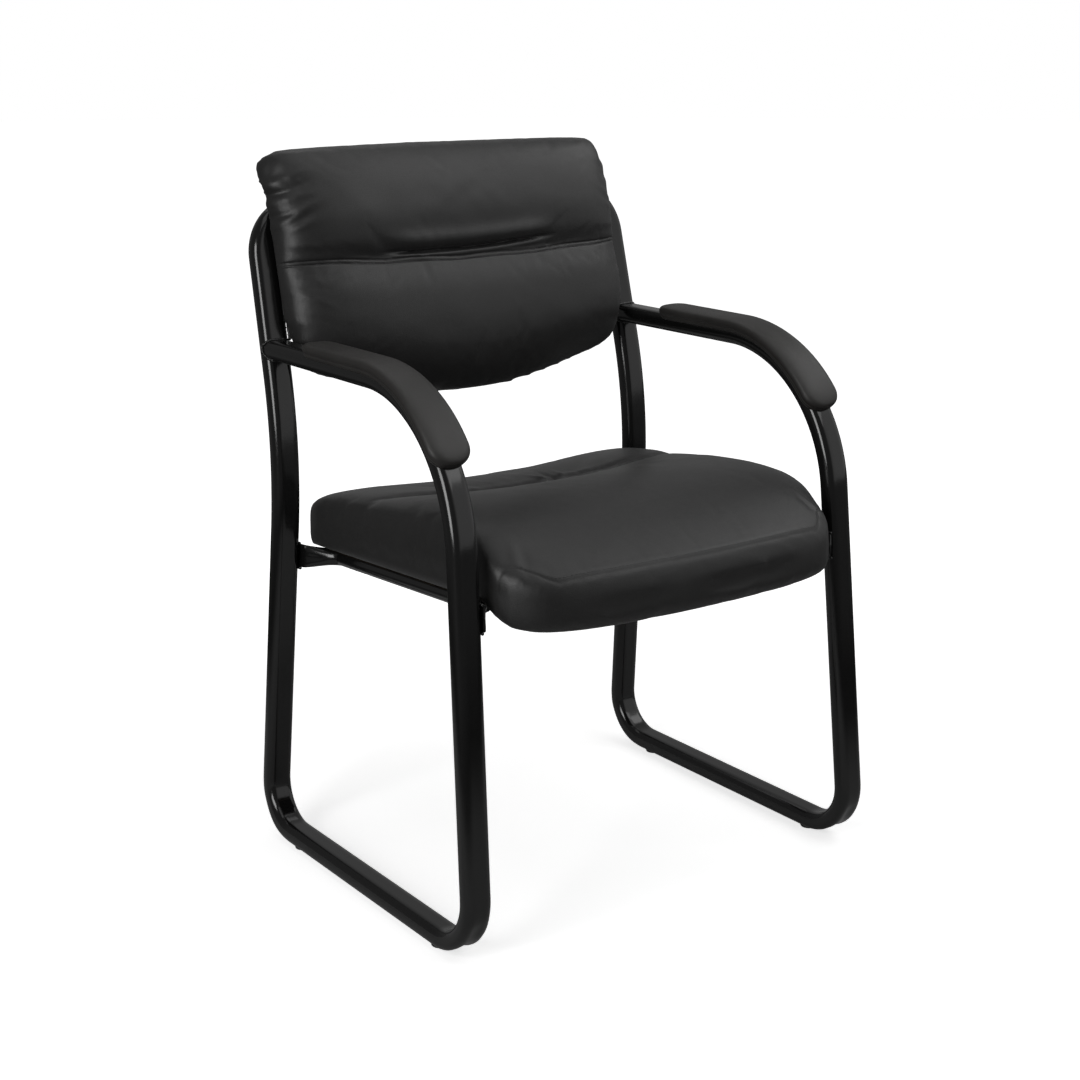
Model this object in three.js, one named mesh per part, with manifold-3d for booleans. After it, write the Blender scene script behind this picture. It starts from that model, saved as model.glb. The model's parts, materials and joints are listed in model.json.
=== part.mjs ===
// Sled base visitor chair. Each side is one bent flat-oval tube: arm, front leg, runner, rear post and half of
// the hoop behind the back. Two seat rails with flattened ends and two cross bars carry the upholstered seat,
// the hoop and a strap carry the back, and soft pads are screwed onto the arms.
// Millimetres, +Z up, the sitter faces -Y, and the origin is on the floor under the middle of the chair.
import * as THREE from 'three';
import { mergeVertices } from 'three/addons/utils/BufferGeometryUtils.js';
import Module from 'manifold-3d';

const wasm = await Module();
wasm.setup();

// Driving dimensions of the side frames. Heights are above the runner's underside, depths from the middle of
// the runner, and a corner is where two straight runs of the tube's centre line would cross.
const tubeWide = 35.5;
const tubeDeep = 24.3;
const tubeCorner = 10.3;
const tubeWall = 1.5;
const frameHalfWidth = 293.4;
const frameLeanShare = 0.028;
const runnerHalfLength = 244.3;
const frontFootRadius = 63.6;
const rearFootRadius = 58.8;
const armHeight = 644.9;
const armCornerDepth = 185.3;
const armRadius = 187;
const kinkHeight = 514.7;
const kinkDepth = 199.7;
const kinkRadius = 622;
const backAngle = 13.7;
const hoopRise = 304;
const hoopRadius = 58;
const weldGap = 0.3;

// Driving dimensions of the hoop's splice, the strap behind the back and the glides
const spliceLength = 80;
const spliceWall = 2;
const strapHeight = 30;
const strapThick = 4;
const strapRise = 158;
const glideRadius = 11;
const glideHeight = 4;
const glideStemRadius = 4;
const glideStemLength = 9;
const glideInset = 78;

// Driving dimensions of the seat's rails and cross bars
const railRadius = 11;
const railWall = 1.6;
const railInset = 36.5;
const railFlangeLength = 21;
const railJoggleLength = 48;
const railFlatThick = 4.4;
const frontBarDepth = 152;
const rearBarDepth = 128;

// Driving dimensions of the seat
const seatHeight = 403.7;
const seatTilt = 3.12;
const seatFront = 291;
const seatRear = 220;
const seatThick = 87;
const seatSideGap = 14.5;
const seatFrontBow = 34;
const seatBoardThick = 12;
const seatBoardInset = 9;
const seatBoardFrontInset = 26;
const seatBoardCorner = 45;
const seatBoardCurlTurn = 60;
const seatBoardCurl = 48;
const dustCoverThick = 0.8;
const dustCoverInset = 4;
const dustCoverFrontGap = 30;
const seatScrewFront = 112;
const seatScrewRear = 88;

// Driving dimensions of the back, measured from the kink along the leaning posts
const backBottom = 50;
const backOverHoop = 75;
const backThick = 62;
const backOverPost = 9;
const backBow = 55;
const backCrown = 3;
const backEar = 14;
const backBoardThick = 10;
const backBoardInset = 10;
const backCoverThick = 3;
const backCoverInset = 7;
const backScrewSpread = 118;

// Driving dimensions of the arm pads
const padHalfWidth = 24;
const padThick = 12;
const padOverhang = 5;
const padRearDepth = 132;
const padNoseAngle = 33.5;
const padBaseHalfWidth = 15;
const padBaseThick = 3;
const padBaseInset = 26;
const padBossRadius = 6;
const padBossHeight = 5;
const padScrewDepth = 86;
const padScrewAngle = 56;

// Driving dimensions of the fasteners, and the clearances
const screwRadius = 2.8;
const screwHeadRadius = 6.2;
const screwHeadHeight = 3.6;
const screwHoleClearance = 0.5;
const screwAccessClearance = 1;
const nutFlangeRadius = 9;
const nutFlangeThick = 1.6;
const nutBarrelRadius = 4;
const nutBoreClearance = 0.3;
const seatGap = 0.3;
const overrun = 5;

// Counts of facets
const cornerSteps = 3;
const footSteps = 8;
const armSteps = 12;
const kinkSteps = 3;
const hoopSteps = 8;
const railSides = 12;
const railEndSteps = 7;
const roundSides = 10;
const padRingPoints = 16;
const cushionAcrossShares = [0, 0.2, 0.4, 0.58, 0.74, 0.87, 0.955, 0.985, 1];
const padRunSteps = 3;
const padEndSteps = 6;
const curlSteps = 6;
const bowSteps = 4;

const degree = Math.PI / 180;
const xAxis = new THREE.Vector3(1, 0, 0);
const yAxis = new THREE.Vector3(0, 1, 0);
const zAxis = new THREE.Vector3(0, 0, 1);

// Materials
const powderCoat = new THREE.MeshStandardMaterial({ color: 0x0d0d0e, roughness: 0.32, metalness: 0.1 });
const zincSteel = new THREE.MeshStandardMaterial({ color: 0x9a9c9e, roughness: 0.4, metalness: 0.9 });
const blackScrew = new THREE.MeshStandardMaterial({ color: 0x17171a, roughness: 0.45, metalness: 0.6 });
const plywood = new THREE.MeshStandardMaterial({ color: 0xb58a58, roughness: 0.75, metalness: 0 });
const leather = new THREE.MeshStandardMaterial({ color: 0x1b1b1c, roughness: 0.55, metalness: 0 });
const padSkin = new THREE.MeshStandardMaterial({ color: 0x1a1918, roughness: 0.6, metalness: 0 });
const blackPlastic = new THREE.MeshStandardMaterial({ color: 0x141414, roughness: 0.5, metalness: 0 });
const dustCloth = new THREE.MeshStandardMaterial({ color: 0x111112, roughness: 0.95, metalness: 0 });

// Geometry helpers

// A solid for cutting and joining, from a closed three.js geometry.
function solidOf(geometry) {
  const bare = geometry.clone();
  bare.deleteAttribute('normal');
  bare.deleteAttribute('uv');
  const merged = mergeVertices(bare, 1e-4);
  const mesh = new wasm.Mesh({
    numProp: 3,
    vertProperties: new Float32Array(merged.attributes.position.array),
    triVerts: new Uint32Array(merged.index.array),
  });
  return new wasm.Manifold(mesh);
}

// A three.js geometry from a solid.
function geometryOf(solid) {
  const mesh = solid.getMesh();
  const geometry = new THREE.BufferGeometry();
  geometry.setAttribute('position', new THREE.BufferAttribute(new Float32Array(mesh.vertProperties), mesh.numProp));
  geometry.setIndex(new THREE.BufferAttribute(new Uint32Array(mesh.triVerts), 1));
  geometry.computeVertexNormals();
  return geometry;
}

// The first solid less all the others.
function cut(solid, cutters) {
  return cutters.reduce((rest, cutter) => rest.subtract(cutter), solid);
}

// Six times the volume inside a closed geometry, negative where its faces point inwards.
function signedVolume(geometry) {
  const { position } = geometry.attributes;
  const [a, b, c] = [new THREE.Vector3(), new THREE.Vector3(), new THREE.Vector3()];
  let sum = 0;
  for (let i = 0; i < geometry.index.count; i += 3) {
    [a, b, c].forEach((corner, k) => corner.fromBufferAttribute(position, geometry.index.getX(i + k)));
    sum += a.dot(b.cross(c));
  }
  return sum;
}

// A cap over a ring: strips between the points of its one half and those of the other. A ring starts with two
// points that face each other, or with one that stands alone.
function capTriangles(count, firstAlone) {
  const triangles = firstAlone ? [[0, 1, count - 1]] : [];
  let low = firstAlone ? 1 : 0;
  let high = count - 1;
  while (high - low > 1) {
    triangles.push([low, low + 1, high]);
    low += 1;
    if (high - low > 1) triangles.push([low, high - 1, high]);
    high -= 1;
  }
  return triangles;
}

// A closed geometry over rings of points: the rings have one count, and the first and last are capped. Its
// faces point outwards, whichever way the rings turn.
function skin(rings, firstAlone = false) {
  const count = rings[0].length;
  const last = rings.length - 1;
  const index = [];
  for (let i = 0; i < last; i++) {
    for (let k = 0; k < count; k++) {
      const next = (k + 1) % count;
      const a = i * count + k;
      const b = i * count + next;
      index.push(a, a + count, b, b, a + count, b + count);
    }
  }
  const cap = capTriangles(count, firstAlone);
  cap.forEach((corners) => index.push(...corners));
  cap.forEach((corners) => index.push(...corners.map((k) => last * count + k).reverse()));
  const geometry = new THREE.BufferGeometry().setFromPoints(rings.flat());
  geometry.setIndex(index);
  if (signedVolume(geometry) < 0) geometry.setIndex(index.reverse());
  return geometry;
}

// Turns a solid inside out of a mirror: the copy on the chair's other side.
function mirrored(solid) {
  return solid.mirror([1, 0, 0]);
}

// A cylinder along a direction, centred on a point.
function rod(radius, length, centre, direction, sides = roundSides) {
  const geometry = new THREE.CylinderGeometry(radius, radius, length, sides);
  geometry.applyQuaternion(new THREE.Quaternion().setFromUnitVectors(yAxis, direction));
  return solidOf(geometry.translate(centre.x, centre.y, centre.z));
}

// A plate of an outline in X and Y, from one height to another.
function plate(shape, low, high) {
  const geometry = new THREE.ExtrudeGeometry(shape, { depth: high - low, bevelEnabled: false, curveSegments: 6 });
  return solidOf(geometry.translate(0, 0, low));
}

// A power of a number that keeps its sign, as a rounded box's outline uses.
function signedPower(value, power) {
  return Math.sign(value) * Math.abs(value) ** power;
}

// The angles round a cushion's ring at which its points lie at the named shares of the half width.
function cushionAngles(sidePower) {
  const quarter = cushionAcrossShares.map((share) => Math.acos(share ** (1 / sidePower)));
  const upper = [...quarter.slice(1).reverse(), ...quarter.map((angle) => Math.PI - angle)];
  const lower = upper.slice(1, -1).map((angle) => 2 * Math.PI - angle).reverse();
  return [...upper, ...lower];
}

// The section of a flat-oval tube as a list of points, in its wide and its deep direction.
function flatOval(wide, deep, corner) {
  const points = [];
  for (let quarter = 0; quarter < 4; quarter++) {
    const signWide = quarter === 0 || quarter === 3 ? 1 : -1;
    const signDeep = quarter < 2 ? 1 : -1;
    for (let i = 0; i <= cornerSteps; i++) {
      const angle = (quarter + i / cornerSteps) * Math.PI / 2;
      points.push(new THREE.Vector2(
        signWide * (wide / 2 - corner) + corner * Math.cos(angle),
        signDeep * (deep / 2 - corner) + corner * Math.sin(angle),
      ));
    }
  }
  return points;
}

// Stations along a bent line: each corner becomes an arc of its radius, in so many steps.
function bentLine(corners) {
  const stations = [{ point: corners[0].point, tangent: direction(corners[0].point, corners[1].point) }];
  for (let i = 1; i < corners.length - 1; i++) {
    const { point, radius, steps } = corners[i];
    const into = direction(corners[i - 1].point, point);
    const out = direction(point, corners[i + 1].point);
    const turn = into.angleTo(out);
    const axis = new THREE.Vector3().crossVectors(into, out).normalize();
    const start = point.clone().addScaledVector(into, -radius * Math.tan(turn / 2));
    const centre = start.clone().addScaledVector(new THREE.Vector3().crossVectors(axis, into), radius);
    for (let step = 0; step <= steps; step++) {
      const angle = turn * step / steps;
      const spoke = start.clone().sub(centre).applyAxisAngle(axis, angle);
      stations.push({ point: centre.clone().add(spoke), tangent: into.clone().applyAxisAngle(axis, angle) });
    }
  }
  const end = corners.length - 1;
  stations.push({ point: corners[end].point, tangent: direction(corners[end - 1].point, corners[end].point) });
  return stations;
}

function direction(from, to) {
  return to.clone().sub(from).normalize();
}

// Carries the tube's wide direction along the stations without twist.
function addFrames(stations, wideAtStart) {
  let wide = wideAtStart.clone();
  stations.forEach((station, i) => {
    if (i > 0) {
      const turn = new THREE.Quaternion().setFromUnitVectors(stations[i - 1].tangent, station.tangent);
      wide = wide.clone().applyQuaternion(turn);
    }
    station.wide = wide;
    station.deep = new THREE.Vector3().crossVectors(station.tangent, wide).normalize();
  });
  return stations;
}

function ringAt(station, section) {
  return section.map(({ x, y }) => (
    station.point.clone().addScaledVector(station.wide, x).addScaledVector(station.deep, y)
  ));
}

// The side frame

// Where the middle of a side tube lies across the chair, at a height.
function sideAt(height) {
  return -frameHalfWidth + frameLeanShare * height;
}

// How far the inner face of a side tube is from the chair's middle, at a height.
function innerHalfWidth(height) {
  return -sideAt(height) - tubeWide / 2;
}

const runnerHeight = tubeDeep / 2;
const sidePlaneNormal = new THREE.Vector3(1, 0, -frameLeanShare).normalize();
const postDirection = new THREE.Vector3(0, Math.sin(backAngle * degree), Math.cos(backAngle * degree));

function sidePoint(depth, height) {
  return new THREE.Vector3(sideAt(height), depth, height);
}

// A direction in the side frame's leaning plane.
function sideDirection(depth, height) {
  return new THREE.Vector3(frameLeanShare * height, depth, height).normalize();
}

// The centre line of the lower rear post and of the front leg, at a height.
function rearPostDepth(height) {
  return THREE.MathUtils.mapLinear(height, runnerHeight, kinkHeight, runnerHalfLength, kinkDepth);
}

function frontLegDepth(height) {
  return THREE.MathUtils.mapLinear(height, runnerHeight, armHeight, -runnerHalfLength, -armCornerDepth);
}

// The upper post's centre line, and its front face, which the arm's end is coped to.
function upperPostDepth(height) {
  return kinkDepth + (height - kinkHeight) * Math.tan(backAngle * degree);
}

function postFaceDepth(across, height) {
  const past = Math.max(Math.abs(across) - (tubeWide / 2 - tubeCorner), 0);
  const drop = tubeCorner - Math.sqrt(Math.max(tubeCorner ** 2 - past ** 2, 0));
  return upperPostDepth(height) - (tubeDeep / 2 - drop) / Math.cos(backAngle * degree) - weldGap;
}

const hoopHeight = kinkHeight + hoopRise * Math.cos(backAngle * degree);
const hoopDepth = upperPostDepth(hoopHeight);

const sideLine = addFrames(bentLine([
  { point: sidePoint(postFaceDepth(0, armHeight), armHeight) },
  { point: sidePoint(-armCornerDepth, armHeight), radius: armRadius, steps: armSteps },
  { point: sidePoint(-runnerHalfLength, runnerHeight), radius: frontFootRadius, steps: footSteps },
  { point: sidePoint(runnerHalfLength, runnerHeight), radius: rearFootRadius, steps: footSteps },
  { point: sidePoint(kinkDepth, kinkHeight), radius: kinkRadius, steps: kinkSteps },
  { point: sidePoint(hoopDepth, hoopHeight), radius: hoopRadius, steps: hoopSteps },
  { point: new THREE.Vector3(-weldGap / 2, hoopDepth, hoopHeight) },
]), sidePlaneNormal);

// A swept solid of the side tube's line. Grown, it is the room that a neighbour leaves the tube.
function sideSweep(grow, coped) {
  const section = flatOval(tubeWide + 2 * grow, tubeDeep + 2 * grow, tubeCorner + grow);
  const rings = sideLine.map((station) => ringAt(station, section));
  if (coped) {
    rings[0].forEach((point) => point.setY(postFaceDepth(point.x - sideAt(point.z), point.z)));
  } else {
    rings[0].forEach((point) => point.addScaledVector(yAxis, overrun));
    rings.at(-1).forEach((point) => point.addScaledVector(xAxis, overrun));
  }
  return solidOf(skin(rings));
}

// The runner's stem holes sit over the glides, near both foot bends.
const glideDepths = [-(runnerHalfLength - glideInset), runnerHalfLength - glideInset];
const armScrewSites = padScrewSites();
const backScrewSites = [-backScrewSpread, backScrewSpread];

function padScrewSites() {
  const arcCentre = new THREE.Vector2(armBendStart(), armHeight - armRadius);
  const angle = padScrewAngle * degree;
  const height = arcCentre.y + armRadius * Math.sin(angle);
  return [
    { point: sidePoint(padScrewDepth, armHeight), out: sideDirection(0, 1) },
    {
      point: sidePoint(arcCentre.x - armRadius * Math.cos(angle), height),
      out: sideDirection(-Math.cos(angle), Math.sin(angle)),
    },
  ];
}

// Where the arm's straight run ends and its bend starts.
function armBendStart() {
  const turn = Math.PI / 2 - Math.atan2(runnerHalfLength - armCornerDepth, armHeight - runnerHeight);
  return -armCornerDepth + armRadius * Math.tan(turn / 2);
}

function backPoint(across, rise, forward) {
  return new THREE.Vector3(across, kinkDepth, kinkHeight)
    .addScaledVector(postDirection, rise)
    .addScaledVector(backForward(), forward);
}

function backForward() {
  return new THREE.Vector3(0, -Math.cos(backAngle * degree), Math.sin(backAngle * degree));
}

// The arm pads' screws pass through the tube's upper wall. A wider hole in its lower wall lets their heads in.
function sideTube() {
  const bore = sideSweep(-tubeWall, false);
  const holeRadius = screwRadius + screwHoleClearance;
  const accessRadius = screwHeadRadius + screwAccessClearance;
  const holes = glideDepths.map((depth) => rod(
    glideStemRadius + seatGap, tubeDeep, sidePoint(depth, 0), zAxis,
  ));
  for (const { point, out } of armScrewSites) {
    holes.push(rod(holeRadius, tubeDeep, point.clone().addScaledVector(out, tubeDeep / 2), out));
    holes.push(rod(accessRadius, tubeDeep, point.clone().addScaledVector(out, -tubeDeep / 2), out));
  }
  holes.push(rod(holeRadius, tubeDeep + 2 * overrun, backPoint(-backScrewSpread, hoopRise, 0), backForward()));
  return cut(sideSweep(0, true), [bore, ...holes]);
}

// A short inner tube that joins the two halves of the hoop.
function hoopSplice() {
  const grow = -tubeWall - seatGap;
  const solidTube = (wall, length) => {
    const section = flatOval(
      tubeWide + 2 * (grow - wall), tubeDeep + 2 * (grow - wall), Math.max(tubeCorner + grow - wall, spliceWall),
    );
    const rings = [-length / 2, length / 2].map((across) => ringAt({
      point: new THREE.Vector3(across, hoopDepth, hoopHeight), wide: postDirection, deep: backForward(),
    }, section));
    return solidOf(skin(rings));
  };
  return cut(solidTube(0, spliceLength), [solidTube(spliceWall, spliceLength + 2 * overrun)]);
}

// A flat strap across the posts, whose front is level with theirs: the back's lower screws pass through it.
function backStrap() {
  const half = innerHalfWidth(kinkHeight + strapRise * Math.cos(backAngle * degree)) - weldGap;
  const lean = frameLeanShare * strapHeight / 2;
  const shape = new THREE.Shape();
  shape.moveTo(-half - lean, -strapHeight / 2);
  shape.lineTo(half + lean, -strapHeight / 2);
  shape.lineTo(half - lean, strapHeight / 2);
  shape.lineTo(-half + lean, strapHeight / 2);
  const forward = tubeDeep / 2;
  const holes = backScrewSites.map((across) => rod(
    screwRadius + screwHoleClearance, strapThick + 2 * overrun, new THREE.Vector3(across, 0, forward), zAxis,
  ));
  return cut(plate(shape, forward - strapThick, forward), holes);
}

// A glide: a low disc under the runner with a stem pressed into it.
function glide() {
  const edge = glideHeight / 4;
  return solidOf(new THREE.LatheGeometry([
    new THREE.Vector2(0, -glideHeight),
    new THREE.Vector2(glideRadius - edge, -glideHeight),
    new THREE.Vector2(glideRadius, -glideHeight + edge),
    new THREE.Vector2(glideRadius, -seatGap),
    new THREE.Vector2(glideStemRadius, -seatGap),
    new THREE.Vector2(glideStemRadius, glideStemLength),
    new THREE.Vector2(0, glideStemLength),
  ], roundSides).rotateX(Math.PI / 2));
}

// The seat's carrier. The seat has a frame of its own: origin under the board, Y along the board, Z square to it.
const seatGroup = new THREE.Group();
seatGroup.position.set(0, 0, seatHeight);
seatGroup.rotation.x = -seatTilt * degree;
seatGroup.updateMatrixWorld(true);

const railTop = -dustCoverThick - 2 * seatGap;
const railHeight = railTop - railRadius;
const railAcross = innerHalfWidth(seatHeight) - railInset;

// Where a rail's flange is centred, in the seat's frame: on the inner face of the post or the leg.
function railEnd(depthAt) {
  const point = new THREE.Vector3();
  for (let pass = 0; pass < 3; pass++) {
    const height = point.z + seatHeight + railHeight;
    point.set(0, depthAt(height), -depthAt(height) * Math.tan(seatTilt * degree));
  }
  const height = point.z + seatHeight + railHeight;
  const inSeat = seatGroup.worldToLocal(new THREE.Vector3(0, point.y, height));
  return { depth: inSeat.y, across: innerHalfWidth(height) - seatGap - railFlatThick / 2 };
}

// The share of the joggle over which the flat opens out, and how square the flat's edges are.
const railFlatEndShare = 0.7;
const railFlatPower = 0.3;

// The stations of one end of a rail, from its tip inwards: a flat flange, then a joggle where the flat opens
// out into the round tube.
function railEndRings(end, inward) {
  const rings = [];
  const tip = end.depth - inward * railFlangeLength / 2;
  for (let step = -1; step <= railEndSteps; step++) {
    const share = Math.max(step, 0) / railEndSteps;
    const along = step < 0 ? 0 : railFlangeLength + railJoggleLength * share;
    const shift = THREE.MathUtils.smoothstep(share, 0, 1);
    const slope = 6 * share * (1 - share) * (railAcross - end.across) / railJoggleLength;
    const flat = 1 - THREE.MathUtils.smoothstep(share, 0, railFlatEndShare);
    const across = THREE.MathUtils.lerp(end.across, railAcross, shift);
    rings.push(railRing(across, tip + inward * along, Math.atan(slope) * inward, flat));
  }
  return rings;
}

function railRing(across, depth, turn, flat) {
  const ring = [];
  const flatHalfHeight = railRadius * Math.PI / 2 - railFlatThick / 2;
  for (let k = 0; k < railSides; k++) {
    const angle = 2 * Math.PI * k / railSides;
    const halfThick = THREE.MathUtils.lerp(
      railRadius * Math.cos(angle), railFlatThick / 2 * signedPower(Math.cos(angle), railFlatPower), flat,
    );
    const up = THREE.MathUtils.lerp(railRadius, flatHalfHeight, flat) * Math.sin(angle);
    ring.push(new THREE.Vector3(
      -across - halfThick * Math.cos(turn) + frameLeanShare * up * flat,
      depth - halfThick * Math.sin(turn),
      railHeight + up,
    ));
  }
  return ring;
}

const frontRailEnd = railEnd(frontLegDepth);
const rearRailEnd = railEnd(rearPostDepth);
const seatScrewDepths = [-seatScrewFront, seatScrewRear];

// A seat rail. The screws pass through the upper wall of its hollow round part, and a wider hole in the lower
// wall lets their heads in.
function seatRail() {
  const rings = [...railEndRings(rearRailEnd, -1), ...railEndRings(frontRailEnd, 1).reverse()];
  const straight = railJoggleLength + railFlangeLength / 2;
  const boreEnds = [rearRailEnd.depth - straight, frontRailEnd.depth + straight];
  const bore = rod(
    railRadius - railWall, boreEnds[0] - boreEnds[1],
    new THREE.Vector3(-railAcross, (boreEnds[0] + boreEnds[1]) / 2, railHeight), yAxis, railSides,
  );
  const holes = seatScrewDepths.flatMap((depth) => [
    rod(
      screwRadius + screwHoleClearance, 2 * railRadius,
      new THREE.Vector3(-railAcross, depth, railHeight + railRadius), zAxis,
    ),
    rod(
      screwHeadRadius + screwAccessClearance, 2 * railRadius,
      new THREE.Vector3(-railAcross, depth, railHeight - railRadius), zAxis,
    ),
  ]);
  return cut(solidOf(skin(rings)), [bore, ...holes]);
}

// A cross bar, coped at both ends to the rails' round sides.
function crossBar(depth) {
  const centre = new THREE.Vector3(0, depth, railHeight);
  const bar = rod(railRadius, 2 * railAcross, centre, xAxis, railSides);
  const bore = rod(railRadius - railWall, 2 * railAcross + 2 * overrun, centre, xAxis, railSides);
  const copes = [-1, 1].map((side) => rod(
    railRadius + seatGap, 4 * railRadius, new THREE.Vector3(side * railAcross, depth, railHeight), yAxis, railSides,
  ));
  return cut(bar, [bore, ...copes]);
}

// The seat
const seatDepth = seatFront + seatRear;
const seatHalfWidth = innerHalfWidth(seatHeight) - seatSideGap;

// Shares along the seat from its front: where, the top's height in the middle and at the sides, the
// underside's height and the width. The sewn channel dips only in the middle.
const seatStationShares = [
  [0, -0.06, -0.06, -0.27, 0.7],
  [0.008, 0.15, 0.15, -0.36, 0.82],
  [0.028, 0.31, 0.31, -0.41, 0.9],
  [0.063, 0.47, 0.47, -0.4, 0.965],
  [0.11, 0.66, 0.66, -0.28, 0.99],
  [0.15, 0.78, 0.81, -0.1, 1],
  [0.175, 0.83, 0.88, 0, 1],
  [0.23, 0.92, 0.98, 0, 1],
  [0.3, 0.98, 1.03, 0, 1],
  [0.38, 1, 1.06, 0, 1],
  [0.48, 0.97, 1.055, 0, 1],
  [0.57, 0.9, 1.03, 0, 1],
  [0.64, 0.81, 1.02, 0, 1],
  [0.675, 0.7, 1.01, 0, 1],
  [0.693, 0.6, 1, 0, 1],
  [0.711, 0.69, 1, 0, 1],
  [0.75, 0.745, 0.995, 0, 1],
  [0.81, 0.74, 0.96, 0, 1],
  [0.87, 0.71, 0.91, 0, 1],
  [0.93, 0.66, 0.82, 0, 1],
  [0.97, 0.59, 0.7, 0, 0.985],
  [0.992, 0.5, 0.56, 0.02, 0.95],
  [1, 0.4, 0.42, 0.1, 0.88],
];
const seatTopPower = 0.27;
const seatLipPower = 0.3;
const seatSidePower = 0.45;
const seatWaistShare = 0.42;
const seatDishPower = 2.2;
const seatBowPower = 2.4;
const seatBowEndShare = 0.35;
const seatLipShares = [0.1, 0.2];

// How much of the front's bow a place along the seat takes.
function seatBowShare(share) {
  return 1 - THREE.MathUtils.smoothstep(share, 0, seatBowEndShare);
}

// How round the underside is at its two sides: rounded under the front lip, flat on the board.
function seatUnderPower(share) {
  return seatLipPower * (1 - THREE.MathUtils.smoothstep(share, ...seatLipShares));
}

function seatRing([share, topShare, sideShare, underShare, widthShare]) {
  const ring = [];
  const half = seatHalfWidth * widthShare;
  const under = seatThick * underShare;
  const waist = THREE.MathUtils.lerp(under, seatThick * topShare, seatWaistShare);
  for (const angle of cushionAngles(seatSidePower)) {
    const acrossShare = signedPower(Math.cos(angle), seatSidePower);
    const top = seatThick * THREE.MathUtils.lerp(topShare, sideShare, Math.abs(acrossShare) ** seatDishPower);
    const up = Math.sin(angle) >= 0
      ? waist + (top - waist) * Math.sin(angle) ** seatTopPower
      : waist - (waist - under) * (-Math.sin(angle)) ** seatUnderPower(share);
    const bow = seatFrontBow * seatBowShare(share) * Math.abs(widthShare * acrossShare) ** seatBowPower;
    ring.push(new THREE.Vector3(half * acrossShare, -seatFront + seatDepth * share + bow, up));
  }
  return ring;
}

// How far the bow carries the board's front corners, and its middle, forwards.
const boardShoulderShare = 1 / 3;
const boardMiddleShare = 1 / 6;

// The board's outline from above: round corners, and a front that follows the seat's bow.
function seatBoardOutline(inset) {
  const half = seatHalfWidth - inset;
  const rear = seatRear - inset;
  const front = -(seatFront - seatBoardFrontInset - inset + seatBoardInset);
  const side = front + seatFrontBow;
  const shoulder = side - seatFrontBow * boardShoulderShare;
  const shape = new THREE.Shape();
  shape.moveTo(-half, side + seatBoardCorner);
  shape.quadraticCurveTo(-half, side, -half + seatBoardCorner, shoulder);
  shape.quadraticCurveTo(0, front - seatFrontBow * boardMiddleShare, half - seatBoardCorner, shoulder);
  shape.quadraticCurveTo(half, side, half, side + seatBoardCorner);
  shape.lineTo(half, rear - seatBoardCorner);
  shape.quadraticCurveTo(half, rear, half - seatBoardCorner, rear);
  shape.lineTo(-half + seatBoardCorner, rear);
  shape.quadraticCurveTo(-half, rear, -half, rear - seatBoardCorner);
  return shape;
}

// The board's side view: flat, and curled down at the front.
function seatBoardProfile(grow) {
  const start = -(seatFront - seatBoardFrontInset - seatBoardCurl - seatBoardInset);
  const bend = seatBoardCurlTurn * degree + grow / seatBoardCurl;
  const shape = new THREE.Shape();
  const low = -grow;
  const high = seatBoardThick + grow;
  const centreHeight = -(seatBoardCurl - seatBoardThick);
  shape.moveTo(seatRear, low);
  shape.lineTo(seatRear, high);
  for (let i = 0; i <= curlSteps; i++) {
    const angle = bend * i / curlSteps;
    const reach = high - centreHeight;
    shape.lineTo(start - reach * Math.sin(angle), centreHeight + reach * Math.cos(angle));
  }
  for (let i = curlSteps; i >= 0; i--) {
    const angle = bend * i / curlSteps;
    const reach = low - centreHeight;
    shape.lineTo(start - reach * Math.sin(angle), centreHeight + reach * Math.cos(angle));
  }
  return shape;
}

// The board as a solid, or the room that the cushion leaves it.
function seatBoardBlank(grow) {
  const profile = new THREE.ExtrudeGeometry(seatBoardProfile(grow), {
    depth: 2 * seatHalfWidth, bevelEnabled: false,
  });
  profile.translate(0, 0, -seatHalfWidth);
  profile.applyMatrix4(new THREE.Matrix4().makeBasis(yAxis, zAxis, xAxis));
  const outline = plate(seatBoardOutline(seatBoardInset - 2 * grow), -seatThick, seatThick);
  return solidOf(profile).intersect(outline);
}

const seatScrewSites = seatScrewDepths.flatMap((depth) => [-railAcross, railAcross].map((across) => (
  { across, depth, name: `${depth < 0 ? 'front' : 'rear'}_${across < 0 ? 'left' : 'right'}` }
)));

// Room for a T-nut: a hole for the barrel and a sink for the flange, on the board's upper side.
function nutSeat(centre, boardTop) {
  return [
    rod(nutBarrelRadius + seatGap, 4 * seatBoardThick, centre, zAxis),
    rod(
      nutFlangeRadius + seatGap, 2 * (nutFlangeThick + seatGap),
      new THREE.Vector3(centre.x, centre.y, boardTop), zAxis,
    ),
  ];
}

function seatBoard() {
  const cutters = seatScrewSites.flatMap(({ across, depth }) => (
    nutSeat(new THREE.Vector3(across, depth, 0), seatBoardThick)
  ));
  return cut(seatBoardBlank(0), cutters);
}

function seatCushion() {
  const body = solidOf(skin(seatStationShares.map(seatRing), true));
  return body.subtract(seatBoardBlank(seatGap));
}

// The thin cover stapled under the board, with clear holes for the screws.
function seatDustCover() {
  const outline = seatBoardOutline(seatBoardInset + dustCoverInset);
  const box = new THREE.Shape();
  const front = dustCoverFrontGap - (seatFront - seatBoardFrontInset - seatBoardCurl - seatBoardInset);
  box.moveTo(-seatHalfWidth, front);
  box.lineTo(seatHalfWidth, front);
  box.lineTo(seatHalfWidth, seatRear);
  box.lineTo(-seatHalfWidth, seatRear);
  const sheet = plate(outline, -seatGap - dustCoverThick, -seatGap);
  const flatPart = plate(box, -seatGap - 2 * dustCoverThick, seatGap);
  const holes = seatScrewSites.map(({ across, depth }) => (
    rod(screwRadius + screwHoleClearance, overrun, new THREE.Vector3(across, depth, 0), zAxis)
  ));
  return cut(sheet.intersect(flatPart), holes);
}

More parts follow.
